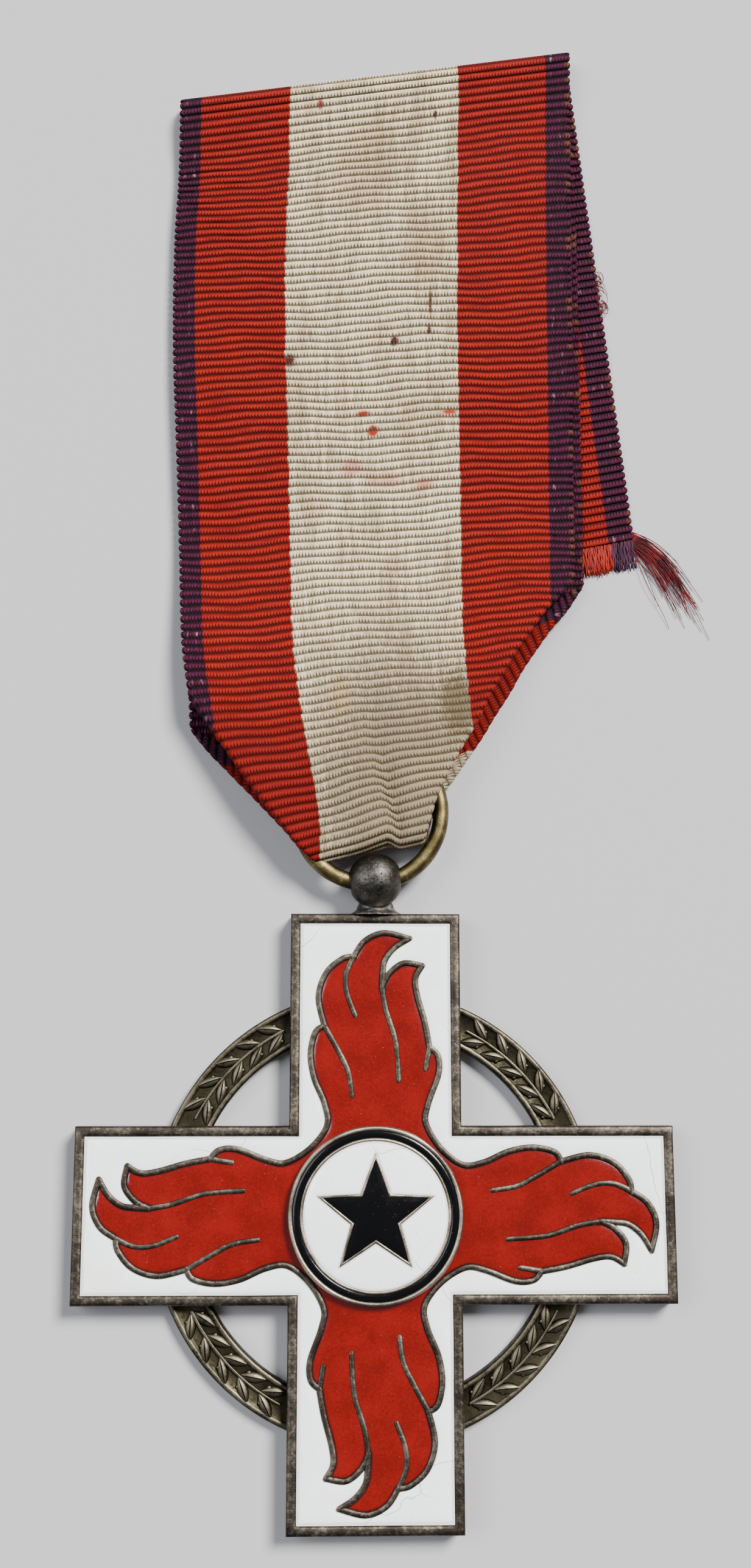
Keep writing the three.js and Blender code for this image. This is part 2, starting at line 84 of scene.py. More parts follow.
def shell(points, quads, triangles=None):
    """A closed shell as (points, quads, triangles), with every face pointing out."""
    points = np.asarray(points, float).reshape(-1, 3)
    triangles = np.zeros((0, 3), int) if triangles is None else np.asarray(triangles, int)
    volume = six_volumes(points, quads) + (six_volumes(points, triangles) if len(triangles) else 0)
    if volume < 0:
        quads, triangles = quads[:, ::-1], triangles[:, ::-1]
    return points, quads, triangles


def tube(rings, closed=False):
    """Rings of points, (rows, columns, 3), joined into a tube. An open tube gets a fan over each end."""
    rows, columns = rings.shape[:2]
    quads = grid_quads(rows, columns, wrap_rows=closed, wrap_columns=True)
    points = rings.reshape(-1, 3)
    if closed:
        return shell(points, quads)
    ends = np.stack([rings[0].mean(0), rings[-1].mean(0)])
    start, finish = len(points), len(points) + 1
    ring = np.arange(columns)
    after = (ring + 1) % columns
    last = (rows - 1) * columns
    caps = np.concatenate([
        np.stack([after, ring, np.full(columns, start)], -1),
        np.stack([last + ring, last + after, np.full(columns, finish)], -1)])
    return shell(np.concatenate([points, ends]), quads, caps)


def together(shells):
    """Several shells as one set of points and faces."""
    points, quads, triangles, count = [], [], [], 0
    for p, q, t in shells:
        points.append(p)
        quads.append(q + count)
        triangles.append(t + count)
        count += len(p)
    return np.concatenate(points), np.concatenate(quads), np.concatenate(triangles)


def piece(name, points, quads, triangles=(), sharp=None, **values):
    """A smooth mesh object from points in millimetres, with an attribute for each set of values,
    which holds one number for each point. Edges bent by more than sharp degrees stay sharp."""
    quads, triangles = np.asarray(quads, int).reshape(-1, 4), np.asarray(triangles, int).reshape(-1, 3)
    mesh = bpy.data.meshes.new(name)
    mesh.vertices.add(len(points))
    mesh.vertices.foreach_set("co", (np.asarray(points) * MM).astype(np.float32).ravel())
    corners = np.concatenate([quads.ravel(), triangles.ravel()])
    starts = np.concatenate([np.arange(len(quads)) * 4, quads.size + np.arange(len(triangles)) * 3])
    mesh.loops.add(len(corners))
    mesh.loops.foreach_set("vertex_index", corners)
    mesh.polygons.add(len(starts))
    mesh.polygons.foreach_set("loop_start", starts)
    mesh.polygons.foreach_set("use_smooth", np.full(len(starts), True))
    for key, value in values.items():
        layer = mesh.attributes.new(key, "FLOAT", "POINT")
        layer.data.foreach_set("value", np.asarray(value, np.float32))
    mesh.update(calc_edges=True)
    if sharp is not None:
        mesh.set_sharp_from_angle(angle=math.radians(sharp))
    made = bpy.data.objects.new(name, mesh)
    bpy.context.scene.collection.objects.link(made)
    return made


def spline(points, steps):
    """A smooth curve through the points (Catmull-Rom: each stretch leaves along the line that
    joins its neighbours), as an evenly stepped array."""
    points = np.asarray(points, float)
    at = np.linspace(0, len(points) - 1, steps + 1)
    i = np.minimum(at.astype(int), len(points) - 2)
    t = (at - i)[:, None]
    padded = np.concatenate([points[:1], points, points[-1:]])
    p0, p1, p2, p3 = (padded[i + k] for k in range(4))
    v0, v1 = (p2 - p0) / 2, (p3 - p1) / 2
    cubic, square = 2 * p1 - 2 * p2 + v0 + v1, 3 * p2 - 3 * p1 - 2 * v0 - v1
    return ((cubic * t + square) * t + v0) * t + p1


def turned(points, quarter):
    """Points turned clockwise about the centre by a number of quarter turns."""
    angle = -quarter * math.pi / 2
    spin = np.array([[math.cos(angle), math.sin(angle)], [-math.sin(angle), math.cos(angle)]])
    return np.asarray(points, float) @ spin


# Flames of the upper arm, as in the struck plate: u across the cell from its
# middle, v from the inner corners to the arm's end.
LEFT_NOTCH, UPPER_NOTCH, MAIN_TIP = (-0.68, 0.515), (-0.29, 0.845), (0.46, 0.93)
MIDDLE_NOTCH, SECOND_TIP, HOOK_NOTCH = (0.09, 0.70), (0.63, 0.80), (0.72, 0.415)
FLAME_SIDES = [
    [LEFT_NOTCH, (-0.76, 0.65), (-0.66, 0.765), (-0.45, 0.832), UPPER_NOTCH],
    [UPPER_NOTCH, (-0.14, 0.92), (0.12, 0.957), MAIN_TIP],
    [MAIN_TIP, (0.26, 0.885), (0.13, 0.825), (0.10, 0.76), MIDDLE_NOTCH],
    [MIDDLE_NOTCH, (0.19, 0.765), (0.38, 0.812), SECOND_TIP],
    [SECOND_TIP, (0.54, 0.74), (0.56, 0.66), (0.66, 0.53), HOOK_NOTCH],
]
RIGHT_FLANK = [HOOK_NOTCH, (0.83, 0.375), (0.84, 0.29), (0.70, 0.15), (0.67, 0.06)]
LEFT_FLANK = [(-0.64, 0.05), (-0.67, 0.15), (-0.81, 0.27), (-0.86, 0.385), (-0.80, 0.485), LEFT_NOTCH]
LICKS = [
    [LEFT_NOTCH, (-0.48, 0.39), (-0.36, 0.30), (-0.31, 0.19)],
    [UPPER_NOTCH, (-0.39, 0.76), (-0.38, 0.67), (-0.27, 0.565)],
    [MIDDLE_NOTCH, (0.14, 0.59), (0.27, 0.44), (0.31, 0.26)],
    [HOOK_NOTCH, (0.69, 0.36), (0.67, 0.315)],
]
CELL_ARM, CELL_SPAN = ARM - RIM, SPAN - RIM
CORNER_STRIP = 0.8


def in_cell(points):
    """Places points given across and along the upper arm's cell."""
    return np.array([(u * CELL_ARM, CELL_ARM + v * (CELL_SPAN - CELL_ARM)) for u, v in points])


flank = np.concatenate([
    in_cell(RIGHT_FLANK), [[CELL_ARM - CORNER_STRIP] * 2], turned(in_cell(LEFT_FLANK), 1)])
flame_lines = [turned(spline(line, 12 * len(line)), k) for k in range(4)
               for line in [*map(in_cell, FLAME_SIDES), flank]]
lick_lines = [turned(spline(in_cell(line), 9 * len(line)), k) for k in range(4) for line in LICKS]
flame_outline = np.concatenate([line[:-1] for line in flame_lines])


def ridge(line, start_half, end_half, top, bottom=FLOOR):
    """A raised line: a profile with a rubbed flat top and round shoulders, carried along a path
    whose ends close in a quarter circle. Its half width runs evenly from start to end."""
    line = np.asarray(line, float)
    along = np.gradient(line, axis=0)
    along /= np.linalg.norm(along, axis=1, keepdims=True)
    half = np.linspace(start_half, end_half, len(line))
    turn = np.radians([80.0, 55.0, 28.0])      # steps round each end, from its tip to its side
    nose = line[0] - along[0] * start_half * np.sin(turn)[:, None]
    tail = line[-1] + along[-1] * end_half * np.sin(turn)[::-1, None]
    path = np.concatenate([nose, line, tail])
    way = np.concatenate([np.repeat(along[:1], 3, 0), along, np.repeat(along[-1:], 3, 0)])
    wide = np.concatenate([start_half * np.cos(turn), half, end_half * np.cos(turn)[::-1]])
    across = np.stack([-way[:, 1], way[:, 0]], -1)
    shoulder = np.array([(1, 0), (1, 0.9), (0.93, 0.965), (0.78, 0.995)])
    profile = np.concatenate([shoulder * (-1, 1), [(0, 1)], shoulder[::-1]])
    rings = np.empty((len(path), len(profile), 3))
    rings[..., :2] = path[:, None] + across[:, None] * (wide[:, None] * profile[:, 0])[..., None]
    rings[..., 2] = bottom + (top - bottom) * profile[:, 1]
    return tube(rings)


def cross_corners(arm, span):
    """The twelve corners of a cross outline, anticlockwise from the right arm's inner corner."""
    quarter = np.array([[arm, arm], [arm, span], [-arm, span]])
    return np.concatenate([turned(quarter, -k) for k in range(4)])


def along_sides(corners, steps):
    """Points on a closed straight-sided outline: as many even steps on each side."""
    after = np.roll(corners, -1, 0)
    t = np.linspace(0, 1, steps, endpoint=False)[None, :, None]
    return (corners[:, None] * (1 - t) + after[:, None] * t).reshape(-1, 2)


def framed(profile, steps):
    """Carries a profile of (inset, height) round the cross outline, with mitred corners."""
    rings = []
    for inset, height in profile:
        edge = along_sides(cross_corners(ARM - inset, SPAN - inset), steps)
        rings.append(np.column_stack([edge, np.full(len(edge), height)]))
    return np.stack(rings, 1)


def filled(loop):
    """Triangles over a flat closed outline, as numbers of its own points."""
    edges = [(i, (i + 1) % len(loop)) for i in range(len(loop))]
    made = delaunay_2d_cdt([Vector(p) for p in loop], edges, [], 0, 1e-7)
    triangles = np.array(made[2])
    middle = np.array([made[0][i] for i in triangles.ravel()]).reshape(-1, 3, 2).mean(1)
    return triangles[inside(middle, loop)]


def inside(points, outline):
    """Whether each point lies in a closed outline: a ray to the right crosses it an odd number of times."""
    x, y = points[:, 0, None], points[:, 1, None]
    a, b = outline[None], np.roll(outline, -1, 0)[None]
    spans = (a[..., 1] > y) != (b[..., 1] > y)
    rise = np.where(b[..., 1] == a[..., 1], 1e-12, b[..., 1] - a[..., 1])
    crossing = a[..., 0] + (y - a[..., 1]) * (b[..., 0] - a[..., 0]) / rise
    return (spans & (x < crossing)).sum(1) % 2 == 1


RIM_PROFILE = [(0.14, BACK), (0.05, BACK + 0.03), (0.0, BACK + 0.13), (0.0, 2.08), (0.03, 2.2), (0.11, 2.27),
               (0.24, RIM_TOP), (0.5, RIM_TOP), (0.64, 2.27), (0.72, 2.2), (RIM, 2.06), (RIM, FLOOR)]
rim_grid = framed(RIM_PROFILE, 24)
rows, columns = rim_grid.shape[:2]
back_ring = np.arange(rows) * columns
floor_ring = back_ring + columns - 1
plate = shell(rim_grid, grid_quads(rows, columns, wrap_rows=True), np.concatenate([
    back_ring[filled(rim_grid[:, 0, :2])][:, ::-1], floor_ring[filled(rim_grid[:, -1, :2])]]))
fences = [ridge(line, FENCE, FENCE, RIM_TOP) for line in flame_lines]
licks = [ridge(line, FENCE, LICK_END, RIM_TOP - 0.01) for line in lick_lines]
cross_body = piece("cross_body_struck", *together([plate, *fences, *licks]), sharp=50)


class Tone:
    """One output socket of a material. Sums on tones, written in Python, add Math nodes."""

    def __init__(self, socket):
        self.socket, self.tree = socket, socket.id_data

    def node(self, kind, values=None, out=0, **settings):
        """A node of any kind: its settings first, then its inputs, by name or number."""
        made = self.tree.nodes.new(kind)
        for name, value in settings.items():
            setattr(made, name, value)
        for key, value in (values or {}).items():
            if isinstance(value, Tone):
                self.tree.links.new(value.socket, made.inputs[key])
            else:
                made.inputs[key].default_value = value
        return Tone(made.outputs[out])

    def maths(self, operation, *others):
        """A Math node on this tone and up to two more."""
        return self.node("ShaderNodeMath", dict(enumerate([self, *others])), operation=operation)

    def __add__(self, other):
        return self.maths("ADD", other)

    def __mul__(self, other):
        return self.maths("MULTIPLY", other)

    def __sub__(self, other):
        return self.maths("SUBTRACT", other)

    def __rsub__(self, other):
        return (self * -1) + other

    def __abs__(self):
        return self.maths("ABSOLUTE")

    __radd__, __rmul__ = __add__, __mul__

    def layer(self, name):
        """The piece's own attribute of this name."""
        return self.node("ShaderNodeAttribute", out=2, attribute_name=name)

    def between(self, low, high):
        """0 below low, 1 above high, and smooth between them (falling if low is over high)."""
        return self.node("ShaderNodeMapRange", {"Value": self, "From Min": low, "From Max": high},
                         interpolation_type="SMOOTHSTEP")

    def mix(self, first, second):
        """A colour that goes from first to second as this tone goes from 0 to 1."""
        values = {"Factor": self, 6: first if isinstance(first, Tone) else (*first, 1),
                  7: second if isinstance(second, Tone) else (*second, 1)}
        return self.node("ShaderNodeMix", values, out=2, data_type="RGBA")

    def noise(self, scale, detail=3.0, rough=0.55, **settings):
        """Noise of this many waves in a millimetre, from a tone that holds a place."""
        values = {"Vector": self, "Scale": scale, "Detail": detail, "Roughness": rough}
        return self.node("ShaderNodeTexNoise", values, **settings)

    def stretched(self, *scale):
        """The place with each axis scaled."""
        return self.node("ShaderNodeMapping", {"Vector": self, "Scale": scale})

    def spots(self, scale, size, seed=0.0):
        """1 in small round spots of a random scatter, 0 outside them."""
        moved = self.node("ShaderNodeMapping", {"Vector": self, "Location": (seed, seed, seed)})
        cell = moved.node("ShaderNodeTexVoronoi", {"Vector": moved, "Scale": scale})
        return cell.between(size, size * 0.5)


def finish(name, **fixed):
    """A new material, its shader's plain settings, and a tone of the piece's own place in mm."""
    material = bpy.data.materials.new(name)
    material.use_nodes = True
    tree = material.node_tree
    shader = tree.nodes["Principled BSDF"]
    for key, value in fixed.items():
        shader.inputs[key.replace("_", " ")].default_value = value
    coordinates = Tone(tree.nodes.new("ShaderNodeTexCoord").outputs["Object"])
    place = coordinates.node("ShaderNodeVectorMath", {0: coordinates, "Scale": 1000.0},
                             operation="SCALE")
    return material, shader, place


def lay(shader, colour, roughness=None, height=None, depth=0.02):
    """Links tones to a shader: height becomes a bump of depth millimetres."""
    tones = {"Base Color": colour, "Roughness": roughness}
    if height is not None:
        tones["Normal"] = height.node(
            "ShaderNodeBump", {"Height": height, "Strength": 1.0, "Distance": depth * MM})
    for key, tone in tones.items():
        if tone is not None:
            tone.tree.links.new(tone.socket, shader.inputs[key])


def fit(made, material, body, slot, *nodes):
    """Gives a piece its material and the body it moves with, and hides the parts it stands for; slot is not
    used.
    """
    made.data.materials.append(material)
    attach(made, body)
    if nodes:
        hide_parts(*nodes)


# Silvered bronze: warm dark grey, patchy, rubbed to a pale pinkish cream.
TARNISH_DARK, TARNISH, PIT = (0.027, 0.022, 0.018), (0.066, 0.056, 0.044), (0.03, 0.025, 0.02)
RUBBED_EDGE = (0.21, 0.180, 0.140)
silver, shader, place = finish("darkened_silver", Metallic=1.0)
blotch = place.noise(0.35, 5, 0.6)
grain = place.noise(3.2, 6, 0.7)
pits = place.spots(2.3, 0.13)
rubbed = (blotch * 0.4 + grain * 0.8).between(0.56, 0.78)
colour = blotch.between(0.3, 0.7).mix(TARNISH_DARK, TARNISH)
colour = (rubbed * 0.55).mix(colour, RUBBED_EDGE)
colour = (pits * 0.8).mix(colour, PIT)
scratch = place.stretched(1.0, 9.0, 1.0).noise(1.6, 4, 0.75)
lay(shader, colour, roughness=0.3 + grain * 0.28 + pits * 0.3,
    height=grain * 0.5 + scratch * 0.35 - pits * 0.8, depth=0.03)
fit(cross_body, silver, "cross", "dark_silver", "cross_body")

# ---------------------------------------------------------------------------
# The enamel fields. Ground glass is laid wet into the cells and melted, first
# the white ground and then the red flames; it is ground level with the metal
# and fired again, which leaves a glossy skin that sinks at each raised line.
# ---------------------------------------------------------------------------
LAP = 0.04                       # the glass runs this far into the rim
CELL_BASE = FLOOR + 0.1
FLAME_FOOT = 5.4                 # the flames end here, under the medallion
EDGE_ROWS = (0.2, 0.27, 0.38)    # rows of points beside each edge, where the glass sinks
SPREAD_GAP = 0.5                 # other points keep about this far from the edges
cell_outline = cross_corners(CELL_ARM + LAP, CELL_SPAN + LAP)


def stepped(outline, step):
    """A closed outline with extra points so that no side is longer than step."""
    after = np.roll(outline, -1, 0)
    parts = []
    for a, b in zip(outline, after):
        count = max(1, int(np.ceil(np.linalg.norm(b - a) / step)))
        parts.append(a + (b - a) * (np.arange(count) / count)[:, None])
    return np.concatenate(parts)


def circle(radius, count):
    """Even points round a circle about the centre."""
    around = np.linspace(0, 2 * np.pi, count, endpoint=False)
    return radius * np.stack([np.cos(around), np.sin(around)], -1)


def nearest(points, targets, step=400):
    """Distance from each point to the closest of the targets, a block at a time."""
    found = np.empty(len(points))
    for i in range(0, len(points), step):
        gap = points[i:i + step, None] - targets[None]
        found[i:i + step] = np.sqrt((gap ** 2).sum(-1).min(1))
    return found


def pool(outlines, keep, spacing, low, top, inner=()):
    """A pool of glass: the flat area that keep accepts, filled with triangles, raised to
    top(x, y, distance from the closest edge) and closed underneath at the height low. inner
    holds points of raised lines inside it, which count as edges."""
    lines, count = [], 0
    for outline in outlines:
        numbers = np.arange(len(outline)) + count
        lines += list(zip(numbers.tolist(), np.roll(numbers, -1).tolist()))
        count += len(outline)
    border = np.concatenate(outlines)
    edges = np.concatenate([border, *inner])
    rows = []
    for inset in EDGE_ROWS:
        for outline in outlines:
            along = np.roll(outline, -1, 0) - np.roll(outline, 1, 0)
            along /= np.linalg.norm(along, axis=1, keepdims=True)
            side = np.stack([-along[:, 1], along[:, 0]], -1)
            rows += [(outline + side * inset, inset), (outline - side * inset, inset)]
    x = np.arange(-SPAN, SPAN, spacing)
    y = np.arange(-SPAN, SPAN, spacing * 0.87)      # rows of nearly even-sided triangles
    grid = np.stack(np.meshgrid(x, y), -1)
    grid[1::2, :, 0] += spacing / 2
    rows.append((grid.reshape(-1, 2), SPREAD_GAP))
    extra = []
    for spread, gap in rows:
        spread = spread[keep(spread)]
        extra.append(spread[nearest(spread, edges) > gap * 0.93])      # none crowds another edge
    flat = np.concatenate([border, *extra])
    made = delaunay_2d_cdt([Vector(p) for p in flat], lines, [], 0, 1e-6)
    points, triangles = np.array(made[0]), np.array(made[2])
    triangles = triangles[keep(points[triangles].mean(1))]
    used, triangles = np.unique(triangles, return_inverse=True)
    points, triangles = points[used], triangles.reshape(-1, 3)
    distance = nearest(points, edges)

    upper = np.column_stack([points, top(points[:, 0], points[:, 1], distance)])
    lower = np.column_stack([points, np.full(len(points), low)])
    sides = np.concatenate([triangles[:, [0, 1]], triangles[:, [1, 2]], triangles[:, [2, 0]]])
    code = np.sort(sides, 1) @ [len(points), 1]
    _, first, times = np.unique(code, return_index=True, return_counts=True)
    rim = sides[first[times == 1]]      # a side that only one triangle has lies on the edge
    wall = np.stack([rim[:, 1], rim[:, 0], rim[:, 0] + len(points), rim[:, 1] + len(points)], -1)
    faces = np.concatenate([triangles, triangles[:, ::-1] + len(points)])
    return shell(np.concatenate([upper, lower]), wall, faces), np.tile(distance, 2)


def glass_top(x, y, distance):
    """Level glass with slow swells, that sinks beside the metal by the square of how near it is."""
    swell = 0.012 * np.sin(0.9 * x + 0.4 * y) + 0.01 * np.sin(0.5 * x - 1.1 * y + 1)
    away = np.clip((distance - FENCE) / 0.45, 0, 1)
    return ENAMEL - 0.045 * (1 - away) ** 2 + 0.02 * away + swell


outline_steps = stepped(flame_outline, 0.22)
cell_steps = stepped(cell_outline, 0.3)
white_shell, white_edge = pool(
    [outline_steps, cell_steps], lambda p: inside(p, cell_outline) & ~inside(p, flame_outline),
    0.42, CELL_BASE, glass_top)
white_field = piece("enamel_white", *white_shell, sharp=60, edge=white_edge)
red_shell, red_edge = pool(
    [outline_steps, circle(FLAME_FOOT, 72)],
    lambda p: inside(p, flame_outline) & (np.hypot(p[:, 0], p[:, 1]) > FLAME_FOOT),
    0.4, CELL_BASE, glass_top, inner=lick_lines)
red_flames = piece("enamel_red", *red_shell, sharp=60, edge=red_edge)

# Cool white glass: pinholes, grey hairlines, a few yellowed patches, and a grey line beside the metal that is
# partly burnt glass and partly painted shade.
WHITE, YELLOWED, HAIRLINE = (0.83, 0.88, 0.87), (0.80, 0.76, 0.62), (0.28, 0.27, 0.24)
PINHOLE, SOOT_AND_SHADE = (0.12, 0.10, 0.07), (0.30, 0.29, 0.26)
white, shader, place = finish("white_enamel", Coat_Weight=0.6, Coat_Roughness=0.04)
yellow = place.noise(0.22, 3, 0.5).between(0.56, 0.78)
grit = place.spots(1.9, 0.075, 3.0)
fine_grit = place.spots(5.0, 0.11, 8.0)
bent = place.node("ShaderNodeVectorMath", {0: place, 1: place.noise(0.5, 2, out=1)}, operation="ADD")
cracks = bent.node("ShaderNodeTexVoronoi", {"Vector": bent, "Scale": 0.13},
                   feature="DISTANCE_TO_EDGE").between(0.006, 0.001)
rare = place.noise(0.16, 1, 0.4).between(0.52, 0.62)
edge = place.layer("edge")
# Partly burnt glass, partly painted shade: grey beside the raised metal.
soot_and_shade = edge.between(0.3, 0.17) * 0.45
colour = (yellow * 0.35).mix(WHITE, YELLOWED)
colour = (cracks * rare * 0.55).mix(colour, HAIRLINE)
colour = (grit * 0.7 + fine_grit * 0.12).mix(colour, PINHOLE)
colour = soot_and_shade.mix(colour, SOOT_AND_SHADE)
ripple = place.noise(0.8, 2, 0.4)
lay(shader, colour, roughness=0.1 + grit * 0.4 + ripple * 0.06,
    height=ripple * 0.6 - grit * 0.6 - cracks * rare * 0.5 + place.noise(6.0, 2) * 0.04, depth=0.03)
fit(white_field, white, "cross", "white_enamel", "enamel_white_field")

# Red glass over metal: grains that did not melt quite evenly, and painted shade by the lines.
FLAME_DARK, FLAME_RED, FLAME_RIM_SHADE = (0.095, 0.0008, 0.0005), (0.165, 0.0022, 0.0008), (0.022, 0.0012, 0.0010)
ORANGE_SPECK, DARK_SPECK = (0.42, 0.05, 0.006), (0.09, 0.006, 0.005)
red, shader, place = finish("red_enamel", Coat_Weight=0.6, Coat_Roughness=0.04)
grains = place.noise(5.5, 4, 0.7)
cloud = place.noise(0.5, 3, 0.5)
dark_grit = place.spots(3.2, 0.10, 5.0)
orange_grit = place.spots(4.1, 0.09, 11.0)
edge = place.layer("edge")
# Painted shade: the red is darker beside the raised lines.
rim_shade = edge.between(0.38, 0.21)
colour = (grains * 0.6 + cloud * 0.5).between(0.35, 0.75).mix(FLAME_DARK, FLAME_RED)
colour = (orange_grit * 0.5).mix(colour, ORANGE_SPECK)
colour = (dark_grit * 0.65).mix(colour, DARK_SPECK)
colour = (rim_shade * 0.85).mix(colour, FLAME_RIM_SHADE)
lay(shader, colour, roughness=0.12 + dark_grit * 0.3 + grains * 0.06,
    height=cloud * 0.6 + grains * 0.05 - dark_grit * 0.4, depth=0.03)
fit(red_flames, red, "cross", "red_enamel", "enamel_red_flames")

# ---------------------------------------------------------------------------
# The laurel band. A flat bronze hoop behind the arms, with raised borders and
# sprigs of laurel between the arms. It is struck apart from the cross,
# silvered, and soft-soldered in; most of the silver is worn or tarnished.
# ---------------------------------------------------------------------------
BAND_IN, BAND_TOP = 13.4, 1.15    # inner radius, and height of the raised borders
BAND_PROFILE = [(0.09, 0.0), (0.0, 0.08), (0.0, 1.02), (0.06, 1.11), (0.16, BAND_TOP), (0.33, BAND_TOP),
                (0.43, 1.07), (0.55, 1.0), (2.25, 1.0), (2.37, 1.07), (2.47, BAND_TOP), (2.64, BAND_TOP),
                (2.74, 1.11), (2.8, 1.02), (2.8, 0.08), (2.71, 0.0)]
SPRIG_R, SPRIG_REACH = 14.8, math.radians(17.5)
STEM_FOOT, STEM_TOP = 0.95, 1.2
BERRY_SIDE, BERRY_AHEAD = 0.62, 0.022    # a berry's place from its pair of leaves, in mm and radians
BERRY_PROFILE = [(0.17, 0.95), (0.17, 1.08), (0.13, 1.17), (0.05, 1.21)]
LEAF_LONG, LEAF_WIDE, LEAF_LEAN = 1.85, 0.86, math.radians(30)


def revolved(profile, steps, wobble=0.0, closed=False):
    """A profile of (radius, height) turned round the upright axis. A closed profile makes a
    hoop; an open one runs from pole to pole. The radius may waver by a part wobble."""
    profile = np.asarray(profile, float)
    around = np.linspace(0, 2 * np.pi, steps, endpoint=False)
    waver = 1 + wobble * (np.sin(3 * around + 1) + 0.6 * np.sin(7 * around) + 0.4 * np.sin(13 * around + 2))
    radius = profile[:, 0, None] * waver
    rings = np.stack([radius * np.cos(around), radius * np.sin(around),
                      np.broadcast_to(profile[:, 1, None], radius.shape)], -1)
    return tube(rings.transpose(1, 0, 2), closed=True) if closed else tube(rings)


def moved(part, spin=None, shift=(0, 0, 0)):
    """A shell turned by a matrix and then moved."""
    points, quads, triangles = part
    spin = np.eye(3) if spin is None else np.asarray(spin)
    return points @ spin.T + np.asarray(shift), quads, triangles


def about_z(angle):
    """A turn about the upright axis, as a matrix."""
    return np.array(Matrix.Rotation(angle, 3, "Z"))


def laurel_leaf(angle, side):
    """A leaf on the band: its half width is a sine of its length, and its face a dome with a
    sunken vein. It points along the band and leans to one side."""
    t = np.linspace(0, 1, 11)[:, None]
    j = np.array([-1, -0.72, -0.4, -0.12, 0, 0.12, 0.4, 0.72, 1])[None]
    half = LEAF_WIDE / 2 * np.sin(np.pi * (0.04 + 0.92 * t)) ** 0.8
    rise = 0.33 * np.sin(np.pi * (0.08 + 0.84 * t)) ** 0.5 * (1 - j ** 2) ** 0.5 - 0.12 * (np.abs(j) < 0.05)
    top = np.stack([t * LEAF_LONG + 0 * j, half * j, 0.98 + np.maximum(rise, 0.0)], -1)
    under = top[:, ::-2].copy()
    under[..., 2] = 0.93
    rings = np.concatenate([top, under], 1)
    rings[..., 1] += side * 0.12
    spin = about_z(math.pi / 2 + side * LEAF_LEAN)
    return moved(moved(tube(rings), spin, (SPRIG_R, 0, 0)), about_z(angle))


berry = revolved(BERRY_PROFILE, 10)
band_parts = [revolved([(BAND_IN + r, z) for r, z in BAND_PROFILE], 240, closed=True)]
for quarter in range(4):
    middle = math.pi / 4 + quarter * math.pi / 2
    stem_at = np.linspace(-SPRIG_REACH, SPRIG_REACH, 30) + middle
    stem = np.stack([SPRIG_R * np.cos(stem_at), SPRIG_R * np.sin(stem_at)], -1)
    band_parts.append(ridge(stem, 0.11, 0.07, STEM_TOP, bottom=STEM_FOOT))
    for angle in np.linspace(-SPRIG_REACH * 0.98, SPRIG_REACH * 0.66, 5) + middle:
        band_parts += [laurel_leaf(angle, 1), laurel_leaf(angle, -1)]
        ahead = angle + BERRY_AHEAD
        for out in (SPRIG_R - BERRY_SIDE, SPRIG_R + BERRY_SIDE):
            band_parts.append(moved(berry, shift=(out * math.cos(ahead), out * math.sin(ahead), 0)))
band = piece("laurel_band_struck", *together(band_parts), sharp=42)

OLIVE_DARK, OLIVE, GRIME = (0.019, 0.017, 0.011), (0.044, 0.038, 0.024), (0.024, 0.020, 0.012)
WORN_BRONZE = (0.165, 0.145, 0.100)
bronze, shader, place = finish("tarnished_band", Metallic=1.0)
cloud = place.noise(0.28, 4, 0.6)
grain = place.noise(3.0, 6, 0.7)
height = place.node("ShaderNodeSeparateXYZ", {0: place}, out=2)
high = height.between(1.02, 1.2)
wear = (cloud * 0.6 + grain * 0.5 + high * 0.28).between(0.62, 0.86)
colour = cloud.between(0.35, 0.7).mix(OLIVE_DARK, OLIVE)
colour = (wear * 0.6).mix(colour, WORN_BRONZE)
grime = ((1 - high) * grain).between(0.42, 0.62)
colour = (grime * 0.7).mix(colour, GRIME)
lay(shader, colour, roughness=0.32 + grain * 0.25 + grime * 0.2, height=grain * 0.7 + cloud * 0.3, depth=0.03)
fit(band, bronze, "cross", "band_metal", "laurel_band")

# ---------------------------------------------------------------------------
# The medallion. A small dished plate on a foot, soldered over the crossing.
# Its rim and a thin inner ring hold black glass, and its middle holds a white
# disc with a star of black glass outlined in metal.
# ---------------------------------------------------------------------------
PLATE_R, PLATE_TOP, CELL_LOW = 6.3, 3.0, 2.6
DISC_R, RING_IN, RING_OUT = 5.2, 5.45, 5.97
DOME = 0.35                      # how far the disc crowns in its middle
STAR_R, STAR_WAIST = 4.2, 0.42
STAR_LINE = [(-0.12, -0.3), (-0.12, 0.02), (-0.09, 0.055), (0.0, 0.07), (0.09, 0.055), (0.12, 0.02),
             (0.12, -0.3)]       # the star's metal outline: out from its middle, and over the dome
PLATE_PROFILE = [(5.1, 1.25), (5.1, 2.33), (6.1, 2.35), (6.24, 2.4), (PLATE_R, 2.52), (PLATE_R, 2.86),
                 (6.27, 2.95), (6.19, 3.0), (6.08, 3.0), (6.0, 2.96), (RING_OUT, 2.88), (RING_OUT, CELL_LOW),
                 (RING_IN, CELL_LOW), (RING_IN, 2.93), (5.41, 3.0), (5.33, 3.02), (5.25, 3.0),
                 (DISC_R, 2.94), (DISC_R, CELL_LOW)]


def domed(x, y):
    """Height of the crowned disc, which falls with the square of the distance from its middle."""
    return PLATE_TOP - 0.03 + DOME * (1 - (x ** 2 + y ** 2) / DISC_R ** 2)


def star(grow, steps=9):
    """Outline of the five-pointed star, its sides moved out by about grow."""
    corner = np.arange(10)
    radius = np.where(corner % 2, STAR_R * STAR_WAIST + grow * 1.1, STAR_R + grow * 1.9)
    angle = np.pi / 2 + corner * np.pi / 5
    return along_sides(np.stack([radius * np.cos(angle), radius * np.sin(angle)], -1), steps)


